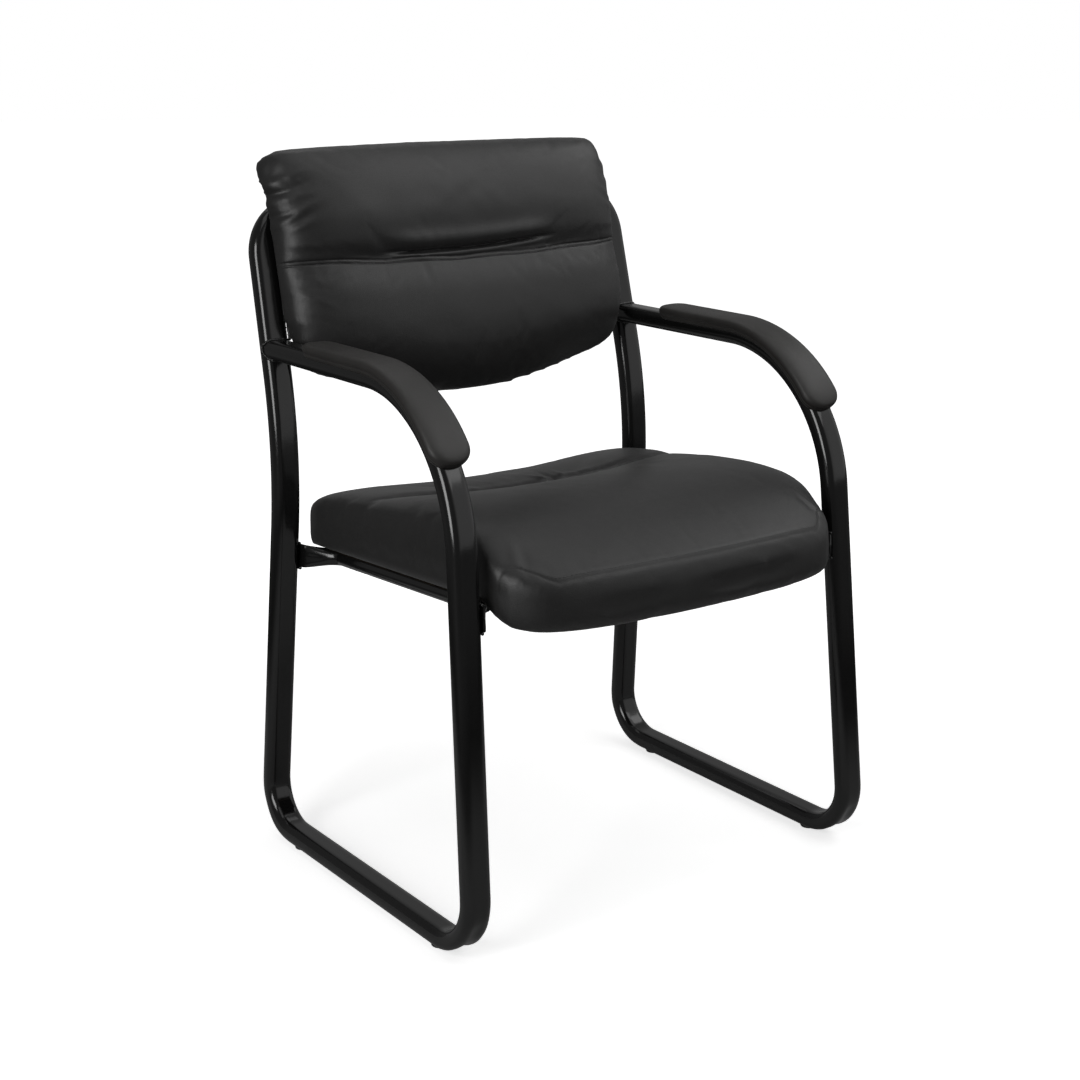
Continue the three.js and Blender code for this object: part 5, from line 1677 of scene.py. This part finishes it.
def seat_folds():
    """The pleats at the seat's crease, and its corner folds and fine folds."""
    pleats = random_folds(
        SEED, 26, (-0.15, 0.15), SEAT_CREASE, ACROSS, 0.5, (0.01, 0.026), (0.003, 0.006), (0.0002, 0.0008)
    )
    folds = [
        (sign * u, v, math.atan2(rearward, sign * outward), *shape)
        for sign in (-1, 1) for u, v, outward, rearward, *shape in CORNER_FOLDS
    ]
    folds += random_folds(
        SEED + 1, 22, (-0.23, 0.23), -0.252, ACROSS, 0.7, (0.008, 0.02), (0.003, 0.007), FINEST
    )
    folds += random_folds(
        SEED + 2, 26, (-0.22, 0.22), -0.02, 1.2, 1.6, (0.02, 0.06), (0.008, 0.02), FINE
    )
    return pleats + CREASE_PLEATS, folds


def seat_relief(p, n, c):
    """How far each place of the seat's cover is pulled in or pushed out."""
    x, y, z = p.T
    pleats, folds = seat_folds()
    top = smoothstep(n[:, 2], 0.2, 0.6)
    away = y - crease_line(x)
    middle = 1 - smoothstep(np.abs(x), 0.1, 0.21)
    move = -0.0035 * bell(away, 0.0026) * middle * top
    move += 0.0016 * bell(np.abs(away) - 0.012, 0.009) * middle * top
    move += fold_sum(x, y, pleats) * top * smoothstep(z, 0.03, 0.045)
    front = smoothstep(z, 0.012, 0.022) * (y < -0.15)
    fade = 1 - smoothstep(np.abs(x), 0.236, 0.25)
    cross = y - seam_depth(x, c)
    move += (-0.0006 * bell(cross, 0.0018) + 0.0003 * bell(cross - 0.005, 0.004)) * front * fade
    return move + fold_sum(x, y, folds) * top


def dressed(body, node, place):
    """Moves a finished cushion to its place and makes it the piece that stands for its node."""
    settled(body, place)
    finish_mesh(body, leather(), 65)
    piece(body, [node])


def build_seat():
    """The seat cushion: blown up, then its front seam, sewn crease, pleats and corner folds."""
    c = sizes("chair_cushions")
    body = cushion_body("shown_seat_cushion", seat_rings(), c.seat_voxel, seat_held(c), c)
    mesh = body.data
    sliced(mesh, lambda p: crease_line(p[:, 0]), SEAT_CREASE_CUTS)
    sliced(mesh, lambda p: seam_depth(p[:, 0], c), SEAT_SEAM_CUTS)
    p, n = coordinates(mesh), normals(mesh)
    set_coordinates(mesh, p + n * seat_relief(p, n, c)[:, None])
    carve(body, seat_room(c))
    dressed(body, "seat_cushion", on_seat)


def back_held(b):
    """What holds the back cushion while it is blown up: its rear, its rim and its seam."""

    def held(p, n):
        x, y, z = p.T
        rear = smoothstep(-n[:, 2], 0.1, 0.5)
        rim = 1 - smoothstep(z, b.board + 0.002, b.board + 0.016)
        seam = 0.9 * bell(y - seam_line(x), 0.008)
        fold = 0.6 * bell(y - gather_line(x), 0.006) * (1 - smoothstep(np.abs(x), 0.09, 0.14))
        return np.maximum.reduce([rear, rim, seam, fold])

    return held


def back_folds():
    """The fine folds of the back's face, and the larger ones at its edges."""
    folds = random_folds(
        SEED + 4, 40, (-0.235, 0.235), BACK_SEAM + 0.012, ACROSS, 0.45, (0.007, 0.018), (0.003, 0.006), FINE
    )
    folds += random_folds(
        SEED + 5, 36, (-0.235, 0.235), BACK_SEAM - 0.012, ACROSS, 0.45, (0.008, 0.022), (0.003, 0.007), FINE
    )
    folds += random_folds(SEED + 6, 24, (-0.2, 0.2), 0.3, 1.0, 1.6, (0.02, 0.06), (0.01, 0.022), FINE)
    folds += random_folds(SEED + 7, 24, (-0.2, 0.2), 0.14, 1.0, 1.6, (0.02, 0.05), (0.01, 0.02), FINEST)
    chance = np.random.default_rng(SEED + 3)
    edge = []
    for sign, strength in ((-1, 0.6), (1, 0.3)):
        for place, slope, size, height in EDGE_FOLDS:
            place = place + chance.uniform(-0.004, 0.004)
            direction = ACROSS - sign * (ACROSS - slope)
            edge.append((sign * 0.24, place, direction, size, 0.0045, height * strength))
    return folds, edge


def back_relief(p, n, b):
    """How far each place of the back's cover is pulled in or pushed out."""
    x, y, z = p.T
    folds, edge = back_folds()
    front = smoothstep(n[:, 2], 0.1, 0.5)
    seam = y - seam_line(x)
    move = (-0.0011 * bell(np.abs(seam) - STITCH_ROW, 0.0009) - 0.0006 * bell(seam, 0.003)) * front
    over = y - gather_line(x)
    middle = 1 - smoothstep(np.abs(x + 0.006), 0.085, 0.14)
    gather = 0.0045 * bell(over - 0.012, 0.011) - 0.006 * bell(over, 0.0026)
    move += (gather + 0.0016 * bell(over + 0.005, 0.0035)) * middle * front
    move += fold_sum(x, y, folds) * front
    move += fold_sum(x, y, edge) * smoothstep(z, b.board + 0.004, b.board + 0.012)
    lobes = sum(height * bell(y - place, half) for place, half, height in EDGE_LOBES)
    lobes *= np.where(x > 0, 0.35, 1)
    return move + lobes * smoothstep(np.abs(n[:, 0]), 0.3, 0.8) * (z > b.board + 0.004)


def build_back():
    """The back cushion: blown up, then its double seam, deep fold, puckered corners and edge folds."""
    c, b = sizes("chair_cushions"), back_sizes()
    body = cushion_body("shown_back_cushion", back_rings(), c.back_voxel, back_held(b), c)
    mesh = body.data
    p = coordinates(mesh)
    corner = bell(p[:, 1] - BACK_LOBE, 0.026) * smoothstep(-p[:, 0], b.half * 0.8, b.half * 0.97)
    corner = corner[:, None] * [-0.8, 0, -0.6] * c.back_lobe
    set_coordinates(mesh, p + corner + [c.back_shift, 0, 0])
    sliced(mesh, lambda p: seam_line(p[:, 0]), BACK_SEAM_CUTS)
    sliced(mesh, lambda p: gather_line(p[:, 0]), BACK_GATHER_CUTS)
    p, n = coordinates(mesh), normals(mesh)
    set_coordinates(mesh, p + n * back_relief(p, n, b)[:, None])
    for inset, low, high in (
        (c.back_board_inset - c.gap, b.board - 0.005, b.board + c.back_board + c.gap),
        (c.back_cover_inset - c.gap, b.cover - c.back_ear - 0.003, b.board),
    ):
        points, faces = prism(back_outline(inset, c, b), low, high)
        carve(body, new_object("room", points, faces))
    dressed(body, "back_cushion", on_back)


def surface_line(name, places, matrix, towards, lift):
    """Points of a row dropped on a shown cushion along a direction, in the chair's frame."""
    obj = bpy.data.objects[name]
    bpy.context.view_layer.update()
    turn = matrix.to_3x3()
    line = []
    for place in places:
        start = matrix @ Vector(place)
        hit, where, facing, _ = obj.ray_cast(start, turn @ Vector(towards))
        if hit:
            line.append(where + facing * lift)
    return line


def build_stitches():
    """Rows of stitches beside the back's seam, the seat's crease and the seat's front seam."""
    c = sizes("chair_cushions")
    size = (c.stitch_long / 2, c.stitch_thick / 2, c.stitch_thick / 2)

    def line(name, reach, count, line_at, place):
        places = [(x, float(line_at(x)), 0.2) for x in np.linspace(-reach, reach, count)]
        return surface_line(name, places, place, (0, 0, -1), 0)

    back = [
        line("shown_back_cushion", 0.228, 150, lambda x: seam_line(x) + away, back_place())
        for away in (-STITCH_ROW, STITCH_ROW)
    ]
    seat = [
        line("shown_seat_cushion", 0.19, 120, crease_line, seat_place()),
        line("shown_seat_cushion", 0.222, 150, lambda x: seam_depth(x, c) + 0.003, seat_place()),
    ]
    for name, lines, up, seed in (
        ("back_stitches", back, (0, -1, 0), SEED), ("seat_stitches", seat, (0, 0, 1), SEED + 1),
    ):
        stitches = row(
            name, lines, ball_item(8, 5), thread(), c.stitch_pitch, size, up=up, jitter=0.05, swing=0.06,
            seed=seed,
        )
        piece(stitches, [])


# Under and behind the cushions


def dust_cover_outline(c):
    """The dust cover's outline in the seat's frame, cut off behind the board's curl, and its front edge."""
    front = c.cover_front - (c.seat_front - c.board_front - c.board_curl - c.board_inset)
    outline = seat_outline(c.board_inset + c.cover_inset, c)
    outline = np.array([q for q in outline if q[1] > front])
    half = float(np.abs(outline[np.argsort(outline[:, 1])][:2, 0]).max())
    left = sorted([q for q in outline if q[0] < 0], key=lambda q: (q[1], q[0]))
    right = sorted([q for q in outline if q[0] >= 0], key=lambda q: (-q[1], q[0]))
    return np.array([(-half, front), *left, *right, (half, front)]), front, half


def dust_cover_mesh(outline):
    """A flat mesh inside an outline, cut into squares."""
    work = bmesh.new()
    work.faces.new([work.verts.new((x, y, 0)) for x, y in outline])
    for normal in ((1, 0, 0), (0, 1, 0)):
        for place in np.arange(-0.25, 0.25, 0.009):
            parts = [*work.verts, *work.edges, *work.faces]
            bmesh.ops.bisect_plane(work, geom=parts, plane_co=Vector(normal) * float(place), plane_no=normal)
    mesh = bpy.data.meshes.new("shown_seat_dust_cover")
    work.to_mesh(mesh)
    work.free()
    return mesh


def build_dust_cover():
    """The thin cloth under the seat board, drawn tight between its staples, and the staples."""
    c = sizes("chair_cushions")
    outline, front, half = dust_cover_outline(c)
    mesh = dust_cover_mesh(outline)
    points = coordinates(mesh)
    x, y = points[:, 0], points[:, 1]
    inside = np.minimum.reduce([half - np.abs(x), y - front, c.seat_rear - c.board_inset - c.cover_inset - y])
    loose = smoothstep(inside, 0.006, 0.03)
    chance = np.random.default_rng(SEED)
    folds = [
        (chance.uniform(-0.22, 0.22), chance.uniform(front, 0.2), chance.uniform(0, 3.1),
         chance.uniform(0.02, 0.07), chance.uniform(0.003, 0.006), chance.uniform(-0.00025, 0))
        for _ in range(40)
    ]
    # Drawn up only: the rails and screws leave no room to hang down.
    level = -c.gap - c.cover_thick + 0.0003
    points[:, 2] = level - 0.00025 * loose + np.maximum(fold_sum(x, y, folds), -0.0002) * loose
    set_coordinates(mesh, points)
    cover = linked("shown_seat_dust_cover", mesh)
    add_modifier(cover, "SOLIDIFY", thickness=0.0004, offset=1)
    settled(baked(cover), on_seat)
    finish_mesh(cover, dust_cloth(), 60)
    piece(cover, ["seat_dust_cover"])
    add_staples(outline, front, half)


def staple_item(wire, crown=0.005, leg=0.002):
    """A staple: a wire bent down at both ends of its crown."""
    a = circle(8)
    rings = []
    for place, drop in ((-1, leg), (-1, 0), (1, 0), (1, leg)):
        lean = np.array([1, 0, 0]) if drop else np.array([0.7, 0, -place * 0.7])
        round_wire = np.cos(a)[:, None] * [0, 1, 0] - place * np.sin(a)[:, None] * lean
        rings.append(np.array([place * crown, 0, drop]) + wire * round_wire)
    points, faces = skin(rings)
    return new_object("item", points, faces)


def add_staples(outline, front, half):
    """The staples round the dust cover."""
    c, p = sizes("chair_cushions"), sizes("chair_pads")
    wire, edge = 0.0005, 0.008
    line = outline * [1 - edge / half, 1]
    line[:, 1] = np.clip(line[:, 1], front + 0.007, None)
    rear = smoothstep(line[:, 1], 0.15, 0.2)
    line[:, 1] = np.where(line[:, 1] > 0.15, line[:, 1] - edge * rear, line[:, 1])
    closed = np.r_[line, line[:1]]
    level = np.full(len(closed), -c.gap - c.cover_thick - wire * 0.4)
    up = tuple(np.array(seat_place().to_3x3() @ Vector((0, 0, 1))))
    path = on_seat(np.c_[closed, level])
    staples = row(
        "dust_cover_staples", [path], staple_item(wire), zinc_steel(), p.staple_pitch, (1, 1, 1), up=up,
        jitter=0, swing=0.25,
    )
    piece(staples, [])


def build_rear_cover():
    """The moulded cover behind the back, with a rounded rim."""
    c, b = sizes("chair_cushions"), back_sizes()
    points, faces = prism(back_outline(c.back_cover_inset, c, b), b.cover, b.cover + c.back_cover)
    cover = new_object("shown_back_rear_cover", points, faces)
    bevel_edges(cover, 0.0011, 3)
    settled(cover, on_back)
    finish_mesh(cover, black_plastic(), 40)
    piece(cover, ["back_rear_cover"])


def build_hidden():
    """Materials for the CAD nodes that stay as they are: the boards, nuts, splice and pad bases."""
    for name, node in frame["nodes"].items():
        material = None
        if name in ("seat_board", "back_board"):
            material = plywood()
        elif "_nut_" in name:
            material = zinc_steel()
        elif name == "hoop_splice":
            material = powder_coat()
        elif name.endswith("arm_pad_base"):
            material = black_plastic()
        if material:
            node.data.materials.clear()
            node.data.materials.append(material)


# Arm pads


def pad_ring(station, shift, width_share, height_share, s, p, nose=0.0, around=56):
    """One ring of a pad: a crowned top, a rolled shoulder, a groove and a narrower skirt beside the tube."""
    point, out, along = station
    width_share = width_share * (1 + p.flare * nose)
    low, high = s.tube_deep / 2 - p.overhang, s.tube_deep / 2 + p.thick * (1 + p.swell * nose)
    waist = s.tube_deep / 2 + p.thick / 5
    a = np.arange(around) / around * 2 * math.pi
    across = p.half_width * width_share * signed_power(np.cos(a), 0.62)
    upper = np.sin(a) > 0
    up = np.where(
        upper, waist + (high - waist) * height_share * np.abs(np.sin(a)) ** 0.62,
        waist - (waist - low) * height_share * np.abs(np.sin(a)) ** 0.5,
    )
    side = np.sign(np.cos(a)) * smoothstep(np.abs(across), p.half_width * 0.5, p.half_width * 0.8)
    across = across - side * 0.0022 * bell(up - s.tube_deep / 2 + 0.0006, 0.0011)
    across = across - side * 0.0016 * smoothstep(-up, -s.tube_deep / 2, -s.tube_deep / 2 + 0.002)
    return point + along * shift + np.outer(up, out) + np.outer(across, Side().normal)


def pad_rings(p, s, side, start):
    """The left pad's rings, from its rounded rear end to its nose."""
    steps = 14
    end_turn = math.pi / 2 - p.nose - p.half_width / s.arm_radius
    stations = [side.arm_station(lerp(p.rear - p.half_width, start, i / 26), 0) for i in range(27)]
    stations += [side.arm_station(start, end_turn * i / 30) for i in range(1, 31)]

    def end_ring(station, sign, i):
        turn = math.pi / 2 * (1 - (i + 0.2) / (steps + 0.2))
        wide = math.cos(turn) ** 0.8
        reach = sign * p.half_width * math.sin(turn)
        return pad_ring(station, reach, wide, wide**0.55, s, p, float(sign > 0))

    flares = smoothstep(np.linspace(0, 1, len(stations)), 0.45, 1)
    return [
        *[end_ring(stations[0], -1, i) for i in range(steps)],
        *[pad_ring(station, 0, 1, 1, s, p, nose) for station, nose in zip(stations, flares)],
        *[end_ring(stations[-1], 1, i) for i in reversed(range(steps))],
    ]


def build_pads():
    """Both arm pads, cut to sit over the tube and their bases."""
    side, s, c, p = Side(), sizes("chair_frame"), sizes("chair_cushions"), sizes("chair_pads")
    start, top = side.bend_start(), s.tube_deep / 2
    pad = new_object("pad", *skin(pad_rings(p, s, side, start)))
    section = flat_oval(s.tube_wide + 2 * c.gap, s.tube_deep + 2 * c.gap, s.tube_corner + c.gap, 5, 2, 1)
    line, tangents, _, _ = bent_line(side.corners()[:3], 0.02, 0.005)
    wides, deeps = line_frames(tangents, side.normal)
    tube = [q + section[:, :1] * w + section[:, 1:] * d for q, w, d in zip(line, wides, deeps)]
    carve(pad, new_object("tube", *skin(tube)))
    high, half, ends = top + c.gap + p.base_thick + c.gap, 0.015 + c.gap, 0.026 - c.gap
    strip = [side.arm_station(lerp(p.rear - ends, start, i / 3), 0) for i in range(4)]
    last = math.pi / 2 - p.nose - ends / s.arm_radius
    strip += [side.arm_station(start, last * i / 12) for i in range(1, 13)]
    corners = [(half, 0.0), (half, high), (-half, high), (-half, 0.0)]
    strip = [[q + out * up + side.normal * across for across, up in corners] for q, out, _ in strip]
    carve(pad, new_object("base", *skin(strip)))
    boss_points, boss_faces = skin(lathe([
        (0.0063, top), (0.0063, top + 2 * c.gap + p.base_thick + p.boss_height),
    ], 24))
    for point, out in side.pad_sites(p):
        turn = Matrix.Translation(point) @ Vector(out).to_track_quat("Z", "Y").to_matrix().to_4x4()
        carve(pad, new_object("boss", moved(boss_points, turn), boss_faces))
    for shown in show_both(pad, "arm_pad", on_floor, pad_skin(), 48):
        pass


# The stage


def area_light(name, place, size, power):
    """A soft box that looks at the middle of the chair."""
    light = bpy.data.lights.new(name, "AREA")
    light.shape = "RECTANGLE"
    light.size, light.size_y = size
    light.energy = power
    obj = linked(name, light)
    obj.location = place
    obj.rotation_euler = (Vector((0, 0, 0.5)) - Vector(place)).to_track_quat("-Z", "Y").to_euler()


def seen_directly(tree):
    """The rays' kinds, and whether a ray shows the place itself, also through glass."""
    rays = tree.add("ShaderNodeLightPath").outputs
    return rays, tree.math("MAXIMUM", rays["Is Camera Ray"], rays["Is Transmission Ray"])


def add_floor(s):
    """The pale floor: seen with its shadow, and darker far off for the light that it sends back."""
    a = circle(96)
    rings = [np.c_[r * np.cos(a), r * np.sin(a), np.zeros(96)] for r in (0.02, 0.8, 1.6, 2.6, 4, 7, 12, 20)]
    points, faces = skin(rings)
    floor = new_object("floor", points, faces[:-1])
    material, tree, shader, place = new_material("pale floor")
    grain = tree.group(mottle_group(), Place=place, Scale=40.0, Sharpness=0.4)[0]
    rays, seen = seen_directly(tree)
    away = tree.add("ShaderNodeVectorMath", place, operation="LENGTH").outputs["Value"]
    bounce = tree.mix(tree.ramp(away, s.lit_near, s.lit_far), grey(s.floor_bounce), grey(s.floor_dark))
    pale = tree.mix(grain, grey(0.93), grey(0.95))
    tree.put(shader.inputs["Base Color"], tree.mix(seen, bounce, pale))
    glow = tree.mix(tree.ramp(away, s.floor_near, s.floor_far), grey(s.floor_glow), grey(1))
    far = tree.math("MULTIPLY", tree.ramp(away, s.lit_far, 2 * s.lit_far), s.mirrored_floor)
    glossy = tree.mix(tree.math("MULTIPLY", rays["Is Glossy Ray"], far), grey(0), grey(1))
    tree.put(shader.inputs["Emission Color"], tree.mix(seen, glossy, glow))
    for socket, value in (("Emission Strength", 1), ("Roughness", 0.9), ("Specular IOR Level", 0.1)):
        shader.inputs[socket].default_value = value
    finish_mesh(floor, material)
    if sum(polygon.normal.z for polygon in floor.data.polygons) < 0:
        floor.data.flip_normals()


def add_surroundings(s):
    """White where they are seen, dim where they are mirrored, and dimmer still as light."""
    world = bpy.data.worlds.new("studio")
    world.use_nodes = True
    bpy.context.scene.world = world
    tree = Tree(world.node_tree)
    rays, seen = seen_directly(tree)
    way = tree.add("ShaderNodeSeparateXYZ", tree.add("ShaderNodeTexCoord").outputs["Generated"]).outputs
    right, rear = tree.ramp(way["X"], -0.1, 0.4), tree.ramp(way["Y"], -0.3, 0.3)
    mirrored = tree.mix(rear, grey(s.mirrored_front), grey(s.mirrored_rear))
    mirrored = tree.mix(right, grey(s.mirrored_left), mirrored)
    strength = tree.mix(rays["Is Glossy Ray"], grey(s.ambient), mirrored)
    background = world.node_tree.nodes["Background"].inputs
    tree.put(background["Color"], tree.mix(seen, strength, grey(1.0)))
    background["Strength"].default_value = 1.0


def add_camera(s):
    """The photo's camera."""
    data = bpy.data.cameras.new("camera")
    data.lens, data.sensor_width, data.clip_end = s.lens, 36, 60
    camera = linked("camera", data)
    level = math.cos(s.elevation)
    back = Vector((math.sin(s.azimuth) * level, -math.cos(s.azimuth) * level, math.sin(s.elevation)))
    camera.location = Vector((s.aim_across, s.aim_depth, s.aim_height)) + back * s.distance
    camera.rotation_euler = (-back).to_track_quat("-Z", "Y").to_euler()
    bpy.context.scene.camera = camera


def build_stage():
    """The floor, the lights, the white background and the camera."""
    s = sizes("chair_stage")
    add_floor(s)
    add_surroundings(s)
    area_light("top box", (0, -0.3, 2.9), (2.6, 2), s.top_power)
    area_light("front box", (1.1, -1.7, 2.7), (1.8, 1.2), s.front_power)
    area_light("left box", (-2.7, -0.9, 1.4), (1.2, 1.8), s.left_power)
    area_light("right box", (2.1, -0.2, 2.3), (1.4, 1.2), s.right_power)
    area_light("rear box", (0.3, 1.7, 2.7), (2, 1), s.rear_box_power)
    add_camera(s)
    bpy.context.scene.view_settings.view_transform = "Standard"


# Operators


def operator(label, build):
    """An operator class that runs one build step and says what it built."""
    identifier = label.lower().replace(" ", "_")

    def execute(self, context):
        before = len(context.scene.objects)
        build()
        if build is not build_hidden and len(context.scene.objects) <= before:
            raise RuntimeError(f"{label}: nothing was built")
        return {"FINISHED"}

    return type(
        f"CHAIR_OT_{identifier}", (bpy.types.Operator,),
        {
            "__doc__": build.__doc__, "bl_idname": f"chair.{identifier}", "bl_label": label,
            "bl_options": {"REGISTER", "UNDO"}, "execute": execute,
        },
    )


STEPS = {
    "Side tubes": build_side_tubes, "Rails and bars": build_rails, "Back strap": build_strap,
    "Welds": build_welds, "Glides": build_glides, "Screws": build_screws, "Seat cushion": build_seat,
    "Back cushion": build_back, "Stitches": build_stitches, "Dust cover": build_dust_cover,
    "Rear cover": build_rear_cover, "Arm pads": build_pads, "Hidden parts": build_hidden,
    "Stage": build_stage,
}
OPERATORS = [operator(label, build) for label, build in STEPS.items()]


class CHAIR_PT_pieces(bpy.types.Panel):
    """The chair's build steps."""

    bl_label = "Chair"
    bl_idname = "CHAIR_PT_pieces"
    bl_space_type = "VIEW_3D"
    bl_region_type = "UI"
    bl_category = "Chair"

    def draw(self, context):
        for kind in OPERATORS:
            self.layout.operator(kind.bl_idname)


def register():
    for name, group in GROUPS.items():
        bpy.utils.register_class(group)
        setattr(bpy.types.Scene, name, bpy.props.PointerProperty(type=group))
    for kind in [*OPERATORS, CHAIR_PT_pieces]:
        bpy.utils.register_class(kind)


def unregister():
    for kind in [CHAIR_PT_pieces, *reversed(OPERATORS)]:
        bpy.utils.unregister_class(kind)
    for name, group in reversed(GROUPS.items()):
        delattr(bpy.types.Scene, name)
        bpy.utils.unregister_class(group)


def main():
    register()
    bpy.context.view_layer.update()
    for kind in OPERATORS:
        getattr(bpy.ops.chair, kind.bl_idname.split(".")[1])()


if __name__ == "__main__":
    main()
